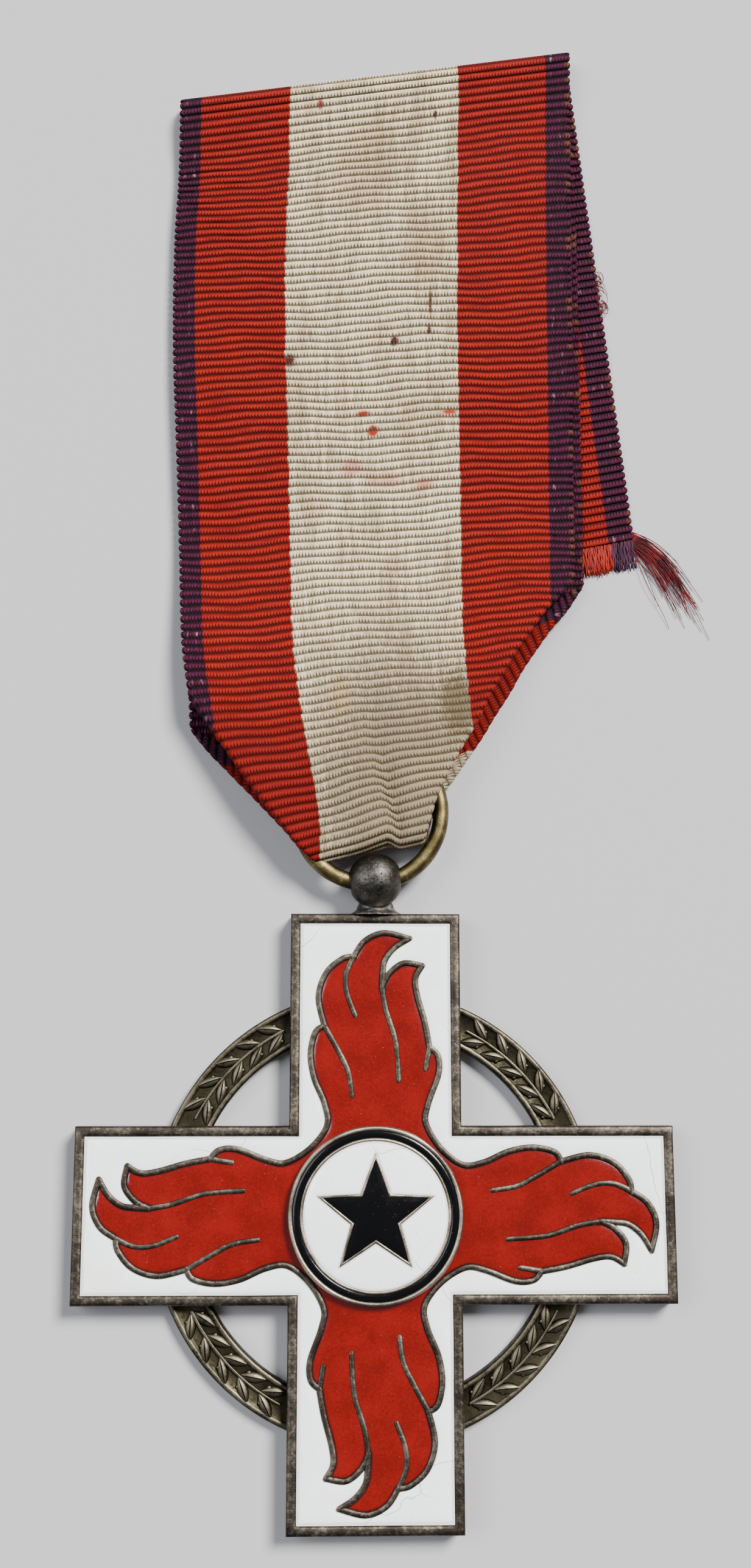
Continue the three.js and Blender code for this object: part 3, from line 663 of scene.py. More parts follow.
outline_rings = []
for grow, lift in STAR_LINE:
    flat = star(grow)
    outline_rings.append(np.column_stack([flat, domed(flat[:, 0], flat[:, 1]) + lift]))
star_line = tube(np.stack(outline_rings, 1), closed=True)
medallion = piece("medallion_plate", *together([revolved(PLATE_PROFILE, 128), star_line]), sharp=50)

SHADED_SILVER, RUBBED_SILVER, DULL_GRAIN = (0.085, 0.070, 0.054), (0.36, 0.305, 0.245), (0.05, 0.041, 0.032)
rubbed_silver, shader, place = finish("rubbed_silver", Metallic=1.0)
blotch = place.noise(0.30, 4, 0.6)
grain = place.noise(3.6, 6, 0.7)
colour = blotch.between(0.35, 0.65).mix(SHADED_SILVER, RUBBED_SILVER)
colour = (grain.between(0.5, 0.75) * 0.5).mix(colour, DULL_GRAIN)
lay(shader, colour, roughness=0.26 + grain * 0.28, height=grain, depth=0.03)
fit(medallion, rubbed_silver, "cross", "dark_silver", "medallion_base", "medallion_solder")

DISC_EDGE = DISC_R + 0.01
star_out, star_in = star(0.11), star(-0.11)
disc_shell, disc_edge = pool(
    [circle(DISC_EDGE, 120), star_out],
    lambda p: (np.hypot(p[:, 0], p[:, 1]) < DISC_EDGE) & ~inside(p, star_out),
    0.36, CELL_LOW, lambda x, y, d: domed(x, y) + 0.035 * np.clip(d / 0.4, 0, 1) - 0.01)
white_disc = piece("enamel_disc", *disc_shell, sharp=60, edge=disc_edge + 0.1)
fit(white_disc, white, "cross", "white_enamel", "medallion_white_disc")

BLACK_GLASS, DUST = (0.0012, 0.0012, 0.0016), (0.10, 0.09, 0.08)
black, shader, place = finish("black_enamel", Coat_Roughness=0.06, Specular_IOR_Level=0.25)
smear = place.noise(0.9, 4, 0.6)
dust = place.spots(3.0, 0.07, 2.0)
colour = (dust * 0.5).mix(BLACK_GLASS, DUST)
lay(shader, colour, roughness=0.13 + smear * 0.14 + dust * 0.3, height=smear - dust * 0.3, depth=0.02)
star_shell = pool([star_in], lambda p: inside(p, star_in), 0.3, CELL_LOW,
                  lambda x, y, d: domed(x, y) + 0.03 * np.clip(d / 0.35, 0, 1) - 0.005)[0]
star_glass = piece("enamel_star", *star_shell, sharp=60)
fit(star_glass, black, "cross", "black_enamel", "medallion_star")

BLACK_PROFILE = [(RING_IN, CELL_LOW), (RING_IN, 2.9), (5.5, 2.925), (5.6, 2.945), (5.71, 2.95), (5.82, 2.945),
                 (5.92, 2.92), (RING_OUT, 2.89), (RING_OUT, CELL_LOW)]
black_ring = piece("enamel_black_ring", *revolved(BLACK_PROFILE, 128, closed=True), sharp=50)
fit(black_ring, black, "cross", "black_enamel", "medallion_black_ring")

# ---------------------------------------------------------------------------
# Ball and solder. A turned steel-grey ball, drilled through for the ring and
# soldered to the top of the arm on a short neck.
# ---------------------------------------------------------------------------
BALL = np.array([0, 24.25, 2.05])
BALL_R, BORE_R = 2.05, 0.83
LEAN = math.radians(5)           # the bore's turn, seen from above
mouth = math.asin(BORE_R / BALL_R) + 0.03
arc = np.linspace(mouth, math.pi - mouth, 34)
ball_profile = np.concatenate([
    np.stack([BALL_R * np.sin(arc), BALL_R * np.cos(arc)], -1),
    [(BORE_R, z) for z in (-1.82, -0.8, 0.8, 1.82)]])
along_bore = about_z(LEAN) @ np.array([(0, 0, 1), (0, 1, 0), (-1, 0, 0)], float)
turned_ball = revolved(ball_profile, 56, wobble=0.002, closed=True)
ball = piece("drilled_ball", *moved(turned_ball, along_bore, BALL), sharp=40)

STEEL_DARK, STEEL, BALL_PIT = (0.028, 0.025, 0.022), (0.105, 0.096, 0.086), (0.03, 0.025, 0.022)
steel, shader, place = finish("dark_ball", Metallic=1.0)
cloud = place.noise(0.9, 5, 0.65)
pits = place.spots(2.2, 0.16, 4.0)
grain = place.noise(5.0, 5, 0.7)
colour = (cloud * 0.7 + grain * 0.4).between(0.42, 0.72).mix(STEEL_DARK, STEEL)
colour = (pits * 0.7).mix(colour, BALL_PIT)
lay(shader, colour, roughness=0.27 + grain * 0.25 + pits * 0.3,
    height=grain * 0.6 - pits + cloud * 1.2, depth=0.06)
fit(ball, steel, "cross", "ball_metal", "suspension_ball")

NECK_PROFILE = [(2.05, 21.7), (2.0, 21.77), (1.84, 21.85), (1.66, 21.95), (1.5, 22.07), (1.38, 22.22),
                (1.32, 22.42), (1.2, 22.7)]
NECK_FLAT, NECK_LEVEL = 0.66, 1.42       # the solder spreads along the edge more than across it
upright = np.array([(1, 0, 0), (0, 0, 1), (0, -NECK_FLAT, 0)], float)
neck = revolved(NECK_PROFILE, 48, wobble=0.03)
solder = piece("solder_neck", *moved(neck, upright, (0, 0, NECK_LEVEL)), sharp=60)

SOLDER_DARK, SOLDER_PALE = (0.055, 0.050, 0.046), (0.24, 0.225, 0.20)
solder_grey, shader, place = finish("old_solder", Metallic=1.0)
lump = place.noise(1.6, 4, 0.6)
lay(shader, lump.between(0.35, 0.7).mix(SOLDER_DARK, SOLDER_PALE),
    roughness=0.35 + lump * 0.3, height=lump, depth=0.08)
fit(solder, solder_grey, "cross", "solder", "ball_solder")

# ---------------------------------------------------------------------------
# The ring. One turn of drawn brass wire through the ball, sprung open and
# closed again, its lacquer long gone: brown in the hollows, bright on top.
# ---------------------------------------------------------------------------
RING_C, RING_R, WIRE_R = np.array([-0.453, 29.428, 2.05]), 5.4, 0.6
around = np.linspace(0, 2 * np.pi, 150, endpoint=False)[:, None]
section = np.linspace(0, 2 * np.pi, 20, endpoint=False)[None]
wire = WIRE_R * (1 + 0.012 * np.sin(5 * around + 2 * section) + 0.01 * np.sin(17 * around - section))
reach = RING_R + wire * np.cos(section)
ring_grid = np.stack([reach * np.cos(around), reach * np.sin(around), wire * np.sin(section)], -1) + RING_C
ring = piece("wire_ring", *tube(ring_grid, closed=True))

BRASS_BROWN, BRASS, BRASS_RUBBED, BRASS_PIT = (
    (0.062, 0.046, 0.019), (0.155, 0.120, 0.052), (0.46, 0.39, 0.20), (0.05, 0.04, 0.02))
brass, shader, place = finish("aged_brass", Metallic=1.0)
cloud = place.noise(0.8, 5, 0.65)
grain = place.noise(4.0, 6, 0.75)
colour = cloud.between(0.3, 0.7).mix(BRASS_BROWN, BRASS)
colour = ((cloud * 0.5 + grain * 0.6).between(0.58, 0.76) * 0.55).mix(colour, BRASS_RUBBED)
colour = (place.spots(2.6, 0.12, 6.0) * 0.6).mix(colour, BRASS_PIT)
lay(shader, colour, roughness=0.24 + grain * 0.3, height=grain * 0.7 + cloud * 0.4, depth=0.035)
fit(ring, brass, "ring", "ring_brass", "suspension_ring")

# ---------------------------------------------------------------------------
# The ribbon. One length of rep ribbon, woven with thick weft cords that make
# crosswise ribs. It is folded in at both sides to a V, drawn through the ring,
# and turned over at the top, so the back panel lies between front and tail.
# ---------------------------------------------------------------------------
HALF, CLOTH_WIDTH = 15.4, 30.0   # half the numbers across the cloth, and its flat width
RIB = 0.65                       # from one weft cord to the next
RIDGE, VALLEY = 0.17, 0.075      # half the cloth's thickness on a rib and between two
SELVEDGE_TAPER = np.array([0.3, 0.75, 1.0])
ROLL = 0.2                       # middle of the cloth at a folded side
THROAT = 27.92                   # height of the line round which the cloth turns in the ring
LOOP_R, LOOP_Z = 1.345, 2.05
HALF_TURN = LOOP_R * math.pi / 2
FRONT_LEVEL, BACK_LEVEL, TAIL_LEVEL = 1.075, 0.625, 0.185
PANEL = 62.6                     # throat line to the line of the top fold
TOP = PANEL + HALF_TURN
CUT = TOP - 1.3                  # the two pieces meet here, on a rib just under the top fold
TOP_R, TOP_SLANT = 0.72, math.radians(8.8)
TAIL_LEAN, TAIL_SLANT, TAIL_WOVEN = math.radians(6), math.radians(11.5), 42.8
# Slope of the ribs, in degrees, by height above the throat.
FRONT_SLOPES = [(0, 8), (8, 6.5), (18, 5), (33, 3.5), (46, 4.2), (56, 7.6), (61, 8.8), (70, 8.8)]
BACK_SLOPES = [(0, 8), (12, 5), (30, 4), (58, 8.0), (90, 8.8)]


def read_curve(at, *pairs):
    """Reads a smooth curve through (place, value) pairs."""
    curve = spline(pairs, 60 * len(pairs))
    return np.interp(at, curve[:, 0], curve[:, 1])


def eased(at, low, high):
    """0 below low and 1 above high, by the cubic 3t^2 - 2t^3 between them."""
    t = np.clip((at - low) / (high - low), 0, 1)
    return t * t * (3 - 2 * t)


def warp_place(across, run):
    """Where a warp thread lies from left to right: the two selvedges drift a little as they go
    up, and the threads share the width between them."""
    left = read_curve(
        run, (-90, -14.3), (-40, -14.6), (-12, -14.3), (-6, -13.2), (0, -11.9), (4, -12.4), (8.5, -13.5),
        (12, -14.2), (16, -14.8), (23, -15.2), (32, -15.65), (41, -16.1), (50, -16.15), (62, -15.9),
        (110, -15.9))
    right = read_curve(
        run, (-90, 16.2), (-40, 16.5), (-12, 16.3), (12, 15.5), (23, 15.65), (32, 15.8), (41, 15.9),
        (50, 16.0), (62, 16.15), (110, 16.15))
    return (left + right) / 2 + across * (right - left) / (2 * HALF)


def fold_right(run):
    """The right-hand folded side of the V, front above 0 and back below."""
    return read_curve(
        run, (-90, 80), (-30, 24), (-26, 20.5), (-21.2, 16.4), (-18.8, 14.7), (-15.8, 12.4), (-11.8, 9.8),
        (-7.4, 6.9), (-4.0, 4.6), (0, 3.4), (3.3, 4.1), (6.0, 5.3), (9.8, 7.5), (12.6, 9.0), (15.5, 10.9),
        (18.6, 13.2), (21.8, 16.0), (27, 20.5), (40, 32), (110, 90))


def fold_left(run):
    """The left-hand folded side of the V, front above 0 and back below."""
    return read_curve(
        run, (-90, -80), (-24, -24), (-19, -19), (-15, -16.1), (-13.2, -14.9), (-10.5, -12.9), (-8.2, -10.7),
        (-5.7, -8.3), (-3.0, -6.0), (0, -4.2), (3.3, -6.1), (6.7, -8.6), (10, -11.0), (13, -13.2),
        (15.4, -15.0), (20, -19), (30, -28), (110, -90))


def folded(place, run, line, side, width):
    """Turns the cloth beyond a fold line over onto the inside. A point at distance d past the
    line goes round a roll, and beyond that it is mirrored in the line; what would crumple
    further in is drawn together so that it stays under width. Returns the new place and run,
    and how far in the cloth lies."""
    over = np.maximum((place - line) * side, 0)
    past_line = over > 0
    loose = np.maximum(over - 1.0, 0)
    over = np.minimum(over, 1.0) + width * (1 - np.exp(-loose / width))
    slope = np.gradient(line[:, 0], run[:, 0])[:, None]
    long = np.sqrt(1 + slope ** 2)
    along, past = over * slope * side / long, over / long
    turn = np.minimum(past / ROLL, np.pi)
    out = ROLL * np.sin(turn) - np.maximum(past - np.pi * ROLL, 0)
    inward = ROLL * (1 - np.cos(turn))
    x = np.where(past_line, line + along * slope / long + out * side / long, place)
    q = np.where(past_line, run + along / long - out * side * slope / long, run)
    return x, q, np.where(past_line, inward, 0)


def mound(at, middle, wide):
    """A bell-shaped rise, 1 at its middle."""
    return np.exp(-((at - middle) / wide) ** 2)


def ring_loop(x, run, inward):
    """Bends the flat folded cloth round the ring: a half circle about the slanted throat line,
    with the front coming down to it and the back going up from it. Ribs rise to the right."""
    in_front = run > 0
    bend = np.clip(run / LOOP_R, -np.pi / 2, np.pi / 2)
    rise = np.maximum(np.abs(run) - HALF_TURN, 0)
    front = LOOP_Z + LOOP_R - (LOOP_Z + LOOP_R - FRONT_LEVEL) * eased(rise, 4.5, 27)
    back = LOOP_Z - LOOP_R - (LOOP_Z - LOOP_R - BACK_LEVEL) * eased(rise, 4, 14)
    z = np.where(rise > 0, np.where(in_front, front, back), LOOP_Z + LOOP_R * np.sin(bend))
    slope = np.where(in_front, read_curve(rise, *FRONT_SLOPES), read_curve(rise, *BACK_SLOPES))

    # The pleat: one crease that leans left as it goes up, and fades a ring's width above it.
    near = np.exp(-(rise / 8) ** 2) * np.where(in_front, 1, 0.35)
    crease = 1.5 - 0.24 * rise
    pulled = 0.13 * (x + 1.6) - 0.75 * eased(x, crease - 0.7, crease + 0.5)
    groove = -0.55 * mound(x, crease + 0.1, 0.55) + 0.22 * mound(x, crease - 2, 1.5)
    dip = near * (groove - 0.25 * mound(x, -4.5, 1.5)) * np.sin(bend)

    # Cloth that was pressed by hand: uneven ribs, and a front panel that swells a little.
    ripple = 0.14 * np.sin(0.45 * x + 0.16 * rise) + 0.05 * np.sin(1.3 * x + rise)
    swell = eased(rise, 8, 20) * (1 - eased(rise, 50, 59)) * np.where(in_front, 0.09, 0)
    swell = swell * (1 + np.sin(0.33 * x + 0.21 * rise) * np.cos(0.17 * x - 0.12 * rise + 1))
    y = THROAT + rise + (inward - LOOP_R) * np.cos(bend) + x * np.tan(np.radians(slope))
    return np.stack([x, y + near * pulled + ripple, z - inward * np.sin(bend) + dip + swell], -1)


def top_fold(x, run):
    """The front going up to the slanted top fold, half a turn round it, and the tail going down
    behind, leaning out to the right."""
    after = run - TOP
    turn = np.clip(after / TOP_R, 0, np.pi)
    down = np.maximum(after - np.pi * TOP_R, 0)
    middle = TAIL_LEVEL + TOP_R
    lift = (middle + TOP_R - FRONT_LEVEL) * eased(after, -6, 0)
    z = np.where(after < 0, FRONT_LEVEL + lift, middle + TOP_R * np.cos(turn))
    slant = math.tan(TOP_SLANT) + (math.tan(TAIL_SLANT) - math.tan(TOP_SLANT)) * down / TAIL_WOVEN
    curl = 0.05 * np.sin(0.3 * down + 0.2 * x) ** 2 * eased(down, 0, 6)
    y = THROAT + PANEL + np.minimum(after, 0) + TOP_R * np.sin(turn) - down * math.cos(TAIL_LEAN) + x * slant
    return np.stack([x + down * math.sin(TAIL_LEAN), y, z + curl], -1)


def rib_rows(first, last, places):
    """Places along the cloth for ribs first to last, counted from the cut, where a rib's crown
    is. places are parts of a rib: 0 is its crown and 0.5 the valley after it."""
    return CUT + RIB * (np.arange(first, last)[:, None] + np.array(places)[None]).ravel()


THREAD_COUNTS = [1, 1, 6, 8, 22, 8, 6, 1, 1]


def thread_columns(left, right):
    """Sampled threads across the cloth for each row: close together at the selvedges and round
    the two fold lines, even elsewhere."""
    left = np.clip(left, -HALF + 1.5, -1.5)
    right = np.clip(right, 1.5, HALF - 1.5)
    side = np.full_like(left, HALF)
    knots = np.stack([-side, -side + 0.07, -side + 0.22, left - 0.85, left + 0.25, right - 0.25,
                      right + 0.85, side - 0.22, side - 0.07, side], 1)
    stretch = np.repeat(np.arange(len(THREAD_COUNTS)), THREAD_COUNTS)
    part = np.concatenate([np.arange(count) / count for count in THREAD_COUNTS])
    across = knots[:, stretch] + (knots[:, stretch + 1] - knots[:, stretch]) * part
    return np.concatenate([across, knots[:, -1:]], 1)


def panel_run(run):
    """Height above the throat line, minus for the back panel."""
    return np.sign(run) * np.maximum(np.abs(run) - HALF_TURN, 0)


def cloth_piece(name, rows_at, bend):
    """A woven piece: its middle surface, given half the cloth's thickness to both sides, which
    rises and falls in a half circle over each rib, and closed round the selvedges."""
    ribs = (rows_at - CUT) / RIB + 0.5
    round_rib = np.sqrt(np.clip(1 - (2 * (ribs % 1.0) - 1) ** 2, 0, 1))
    number = np.floor(ribs + 1e-6)
    uneven = 1 + 0.10 * np.sin(number * 2.4) + 0.06 * np.sin(number * 0.7)

    height = panel_run(rows_at)
    centre = warp_place(0, height)
    width = (warp_place(HALF, height) - centre) / HALF
    left, right = fold_left(rows_at), fold_right(rows_at)
    across = thread_columns((left - centre) / width, (right - centre) / width)
    edge = eased(np.abs(across), HALF - 0.7, HALF)
    weave = across + np.sign(across) * edge * 0.3 * (round_rib[:, None] - 0.8) * uneven[:, None]
    run = rows_at[:, None]
    middle = bend(warp_place(weave, height[:, None]), run, left[:, None], right[:, None])

    up = np.cross(np.gradient(middle, axis=0), np.gradient(middle, axis=1))
    up /= np.linalg.norm(up, axis=2, keepdims=True) + 1e-12
    half = VALLEY + (RIDGE - VALLEY) * (round_rib * np.minimum(uneven, 1.04))[:, None]
    half = np.repeat(half, across.shape[1], 1)
    half[:, :3] *= SELVEDGE_TAPER
    half[:, -3:] *= SELVEDGE_TAPER[::-1]
    lift = up * half[..., None]
    rings = np.concatenate([middle + lift, (middle - lift)[:, ::-1]], 1)
    rows, columns = rings.shape[:2]
    j = np.arange(columns // 2 - 1)
    other = columns - 1 - j
    first = np.stack([j + 1, j, other, other - 1], -1)
    last = first[:, ::-1] + (rows - 1) * columns
    quads = np.concatenate([grid_quads(rows, columns, wrap_columns=True), first, last])
    both = np.concatenate([across, across[:, ::-1]], 1)
    return piece(name, *shell(rings, quads), sharp=75, across=both.ravel(),
                 along=np.repeat(rows_at - CUT, columns))


def lower_bend(place, run, left, right):
    """Folds both sides in, then bends the cloth round the ring."""
    width = np.minimum(0.42 * (right - left), 4.5) - 1.0
    run = np.broadcast_to(run, place.shape)
    x, q, inward = folded(place, run, right, 1, width)
    x_left, q_left, inward_left = folded(place, run, left, -1, width)
    on_left = place < left
    x, q = np.where(on_left, x_left, x), np.where(on_left, q_left, q)
    near_top = eased(run, TOP - 9, CUT)[..., None]
    return (ring_loop(x, q, np.where(on_left, inward_left, inward)) * (1 - near_top)
            + top_fold(x, np.maximum(q, TOP - 9)) * near_top)


def upper_bend(place, run, left, right):
    """Goes on from the lower piece, round the top fold and into the tail, with nothing folded in."""
    return top_fold(place, np.broadcast_to(run, place.shape))


LOWER_RIBS = 187
TAIL_START = TOP + np.pi * TOP_R
UPPER_RIBS = int(round((TAIL_START + TAIL_WOVEN - CUT) / RIB))
COARSE, FINE = (0, 0.34, 0.5, 0.66), (0, 0.26, 0.43, 0.5, 0.57, 0.74)
lower_rows = np.append(rib_rows(-LOWER_RIBS, 0, COARSE), CUT)
upper_rows = rib_rows(0, UPPER_RIBS, FINE)[:-2]
ribbon_lower = cloth_piece("ribbon_ring_and_back", lower_rows, lower_bend)
ribbon_upper = cloth_piece("ribbon_front_and_tail", upper_rows, upper_bend)

# Dyed cotton and silk: cream in the middle, red, and violet selvedges with tan
# loops of weft. The warp shows as small teeth on each rib.
VIOLET, VIOLET_DARK = (0.048, 0.0016, 0.0190), (0.010, 0.0008, 0.0050)
RED, RED_DARK, RED_GAP = (0.200, 0.0052, 0.0014), (0.105, 0.0014, 0.0008), (0.034, 0.0008, 0.0006)
CREAM, CREAM_AGED, CREAM_GAP = (0.54, 0.435, 0.295), (0.275, 0.205, 0.115), (0.064, 0.048, 0.025)
CREAM_CLEAN, VIOLET_GAP = (0.74, 0.64, 0.48), (0.004, 0.0008, 0.0020)
TAN_LOOP, PALE_FLECK = (0.085, 0.026, 0.011), (0.24, 0.13, 0.16)
THREAD, STRAND = 0.245, 0.12     # pitch of the teeth along a rib, and of the strands in them
RED_FROM, VIOLET_FROM = (6.60, 6.70), (13.56, 13.66)      # where stripes change, from the middle
cloth, shader, place = finish("rep_weave", Roughness=0.7, Specular_IOR_Level=0.12)
across, along = place.layer("across"), place.layer("along")
flat = place.node("ShaderNodeCombineXYZ", {"X": across, "Y": along})

# Which rib this is, how far over it, and the teeth of warp that dip between the ribs.
at_rib = along * (1 / RIB) + 0.5
rib_number = at_rib.maths("FLOOR")
in_rib = at_rib.maths("FRACT")
crown = (in_rib * math.pi).maths("SINE")
parity = (rib_number * 0.5).maths("FRACT")
chance = rib_number.node("ShaderNodeTexWhiteNoise", {"W": rib_number}, noise_dimensions="1D")
strand_noise = flat.stretched(4.8, 0.5, 1.0).noise(1.0, 2, 0.5)
rib_noise = flat.stretched(0.30, 1.55, 1.0).noise(1.0, 3, 0.6)
wander = flat.stretched(1.2, 0.8, 1.0).noise(1.0, 2, 0.5) - 0.5
tooth = abs(((across * (1 / THREAD) + parity + wander * 0.5) * math.pi).maths("SINE"))
tooth_foot = (1 - tooth) * (0.12 + strand_noise * 0.75) + 0.07
gap = 1 - (in_rib - tooth_foot).between(-0.09, 0.11) * (1 - in_rib.between(0.88, 1.0) * 0.8)

# The stripes, whose edges jump a little from rib to rib, and the selvedge's tan loops.
middle = abs(across + 0.15)
ragged = (chance - 0.5) * 0.09 + (parity - 0.25) * 0.08 + (tooth - 0.5) * 0.08
red_part = (middle + ragged).between(*RED_FROM)
violet_part = (middle + ragged * 0.7).between(*VIOLET_FROM)
loop_chance = rib_number.node("ShaderNodeTexWhiteNoise", {"W": rib_number * 1.7 + across.maths("SIGN")},
                              noise_dimensions="1D")
loop_part = middle.between(15.05, 15.28) * loop_chance.between(0.55, 0.95)

# The dyes: cream that has aged in streaks, red and violet. The red and violet are painted lighter on each
# rib's crown (painted light), and the red is painted darker by the throat (painted shade).
dirt = flat.stretched(1.1, 0.22, 1.0).noise(0.42, 4, 0.65)
warp_streak = flat.stretched(2.6, 0.09, 1.0).noise(1.0, 3, 0.6)
cream = (dirt.between(0.42, 0.68) * 0.75).mix(CREAM, CREAM_AGED)
cream = (warp_streak.between(0.47, 0.68) * 0.6).mix(cream, CREAM_AGED)
clean = (1 - strand_noise).between(0.45, 0.62) * rib_noise.between(0.4, 0.65)
cream = (clean * 0.4).mix(cream, CREAM_CLEAN)
# Painted light: the red is lighter on each rib's crown.
red_with_painted_light = (rib_noise * 0.55 + crown * 0.3 + strand_noise * 0.25).between(0.48, 0.74).mix(RED_DARK, RED)
# Painted shade: the red darkens towards the throat.
shade_by_throat = along.between(HALF_TURN + 17 - CUT, HALF_TURN + 3 - CUT)
red_with_painted_light = (shade_by_throat * 0.6).mix(red_with_painted_light, RED_DARK)
# Painted light: the violet is lighter on each rib's crown.
violet_with_crown_light = (strand_noise * 0.6 + crown * 0.4).between(0.45, 0.78).mix(VIOLET_DARK, VIOLET)

patch_edge_noise = flat.noise(2.6, 3, 0.7)


def colour_patch(u, v, wide, tall, strength, under, patch_colour):
    """A patch of colour on the cloth (the stains, and the painted shade by the throat): strongest at (u, v)
    on the cloth, gone beyond its half width and height, with a noisy edge."""
    off_u, off_v = (across - u) * (1 / wide), (along - v) * (1 / tall)
    far = (off_u * off_u + off_v * off_v).maths("SQRT") + (patch_edge_noise - 0.5) * 0.88
    return (far.between(1.0, 0.35) * strength).mix(under, patch_colour)


# Each patch's place over the throat, its half width and height, strength and colour. The first, wide one is
# partly a stain and partly painted shade; the others are stains.
STAINS_AND_THROAT_SHADE = [
    # Stain and painted shade: the wide darkening of the cream by the throat.
    (0.5, 1.0, 11.0, 20.0, 0.95, (0.165, 0.128, 0.080)),
    (-6.5, 38.6, 0.6, 0.85, 1.0, (0.045, 0.007, 0.004)),
    (1.6, 39.8, 0.5, 0.7, 1.0, (0.045, 0.009, 0.006)),
    (-0.9, 33.9, 0.8, 0.34, 1.0, (0.30, 0.016, 0.004)), (5.8, 33.5, 0.9, 0.3, 1.0, (0.30, 0.014, 0.004)),
    (-0.2, 32.4, 0.7, 0.7, 1.0, (0.20, 0.012, 0.005)), (-1.9, 29.4, 1.2, 1.1, 0.7, (0.36, 0.10, 0.07)),
    (0.6, 28.3, 1.9, 1.0, 0.6, (0.40, 0.13, 0.09)), (3.7, 27.6, 0.9, 0.7, 0.7, (0.34, 0.07, 0.045)),
    (4.4, 43.0, 0.2, 1.6, 1.0, (0.07, 0.02, 0.010)), (4.3, 40.6, 0.2, 0.7, 1.0, (0.06, 0.015, 0.010)),
    (4.7, 59.2, 0.2, 0.6, 1.0, (0.05, 0.015, 0.010)), (-4.4, 61.2, 0.35, 0.6, 1.0, (0.20, 0.022, 0.014)),
    (-4.9, 40.9, 0.25, 0.7, 0.6, (0.18, 0.09, 0.04)), (0.3, 20.0, 0.3, 1.1, 0.4, (0.22, 0.15, 0.08)),
    (5.6, 9.0, 2.2, 4.2, 0.9, (0.085, 0.060, 0.030)), (-3.6, 10.5, 1.1, 2.2, 0.5, (0.30, 0.18, 0.07)),
    (3.0, 4.0, 3.2, 2.2, 0.35, (0.30, 0.22, 0.13)), (-1.0, 55.0, 3.8, 6.0, 0.6, (0.29, 0.205, 0.11)),
    (4.0, 48.0, 2.2, 5.0, 0.55, (0.27, 0.19, 0.10)),
]
for u, v, wide, tall, strength, patch_colour in STAINS_AND_THROAT_SHADE:
    cream = colour_patch(u, v + HALF_TURN - CUT, wide, tall, strength, cream, patch_colour)

# The stripes together, then pale flecks and loops at the selvedge, and shade in the gaps.
colour = red_part.mix(cream, red_with_painted_light)
colour = violet_part.mix(colour, violet_with_crown_light)
fleck_noise = flat.stretched(2.2, 1.1, 1.0).noise(1.0, 2, 0.5).between(0.50, 0.70)
fleck_line = abs(middle - 14.05).between(0.16, 0.05) + abs(middle - 14.75).between(0.12, 0.05) * 0.6
colour = (fleck_line * crown * chance.between(0.35, 1.0) * fleck_noise * 0.85).mix(colour, PALE_FLECK)
colour = (loop_part * crown * 0.85).mix(colour, TAN_LOOP)
gap_colour = violet_part.mix(red_part.mix(CREAM_GAP, RED_GAP), VIOLET_GAP)
colour = (gap * (0.72 + strand_noise * 0.4)).mix(colour, gap_colour)
strand = abs(((across * (1 / STRAND) + parity * 0.5) * math.pi).maths("SINE"))
relief = crown * 0.3 + tooth * 0.5 * crown + strand_noise * 0.35 + strand * 0.15 - gap * 0.6
lay(shader, colour, height=relief, depth=0.07)

for made in (ribbon_lower, ribbon_upper):
    made.data.materials.append(cloth)
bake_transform(ribbon_lower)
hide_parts("ribbon_loop", "ribbon_return", "ribbon_front")
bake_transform(ribbon_upper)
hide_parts("ribbon_tail")

# ---------------------------------------------------------------------------
# The cut end. The tail was cut off square and never hemmed: the last weft
# cords have dropped out, so the warp stands loose, and one selvedge has worn
# through into a tuft of fine dark fibres. A worn spot further up is fuzzy too.
# ---------------------------------------------------------------------------
rng = np.random.default_rng(11)
WARP_ENDS, TUFT, FUZZ = 440, 80, 30
LOOSE, WARP_R, FIBRE_R = 2.4, 0.08, 0.036
WARP_STEPS, FIBRE_STEPS = 7, 18
FUZZ_AT = (19.0, 22.5)           # the worn stretch of selvedge, down from the top fold
STRAIGHT_EDGE = 62.0             # a height at which the selvedge runs straight


def threads(paths, radius):
    """Fine threads as four-sided tubes. paths is (threads, places, 3) and radius (threads,
    places); each ring lies across its thread's own direction."""
    way = np.gradient(paths, axis=1)
    way /= np.linalg.norm(way, axis=2, keepdims=True) + 1e-9
    side = np.cross(way, (0.0, 0.0, 1.0))
    side /= np.linalg.norm(side, axis=2, keepdims=True) + 1e-9
    over = np.cross(side, way)
    reach = radius[..., None]
    side, over = side * reach, over * reach
    rings = np.stack([paths + side, paths + over, paths - side, paths - over], 2)
    count, places = paths.shape[:2]
    ends = np.array([[3, 2, 1, 0], np.arange(4) + (places - 1) * 4])
    quads = np.concatenate([grid_quads(places, 4, wrap_columns=True), ends])
    start = (np.arange(count) * places * 4)[:, None, None]
    return shell(rings, (quads[None] + start).reshape(-1, 4))


def tapered(t, radius, power, count):
    """The radius of each of count threads at the places t: just over half of it at the tip."""
    return np.broadcast_to(radius * (1 - 0.45 * t ** power), (count, t.size))


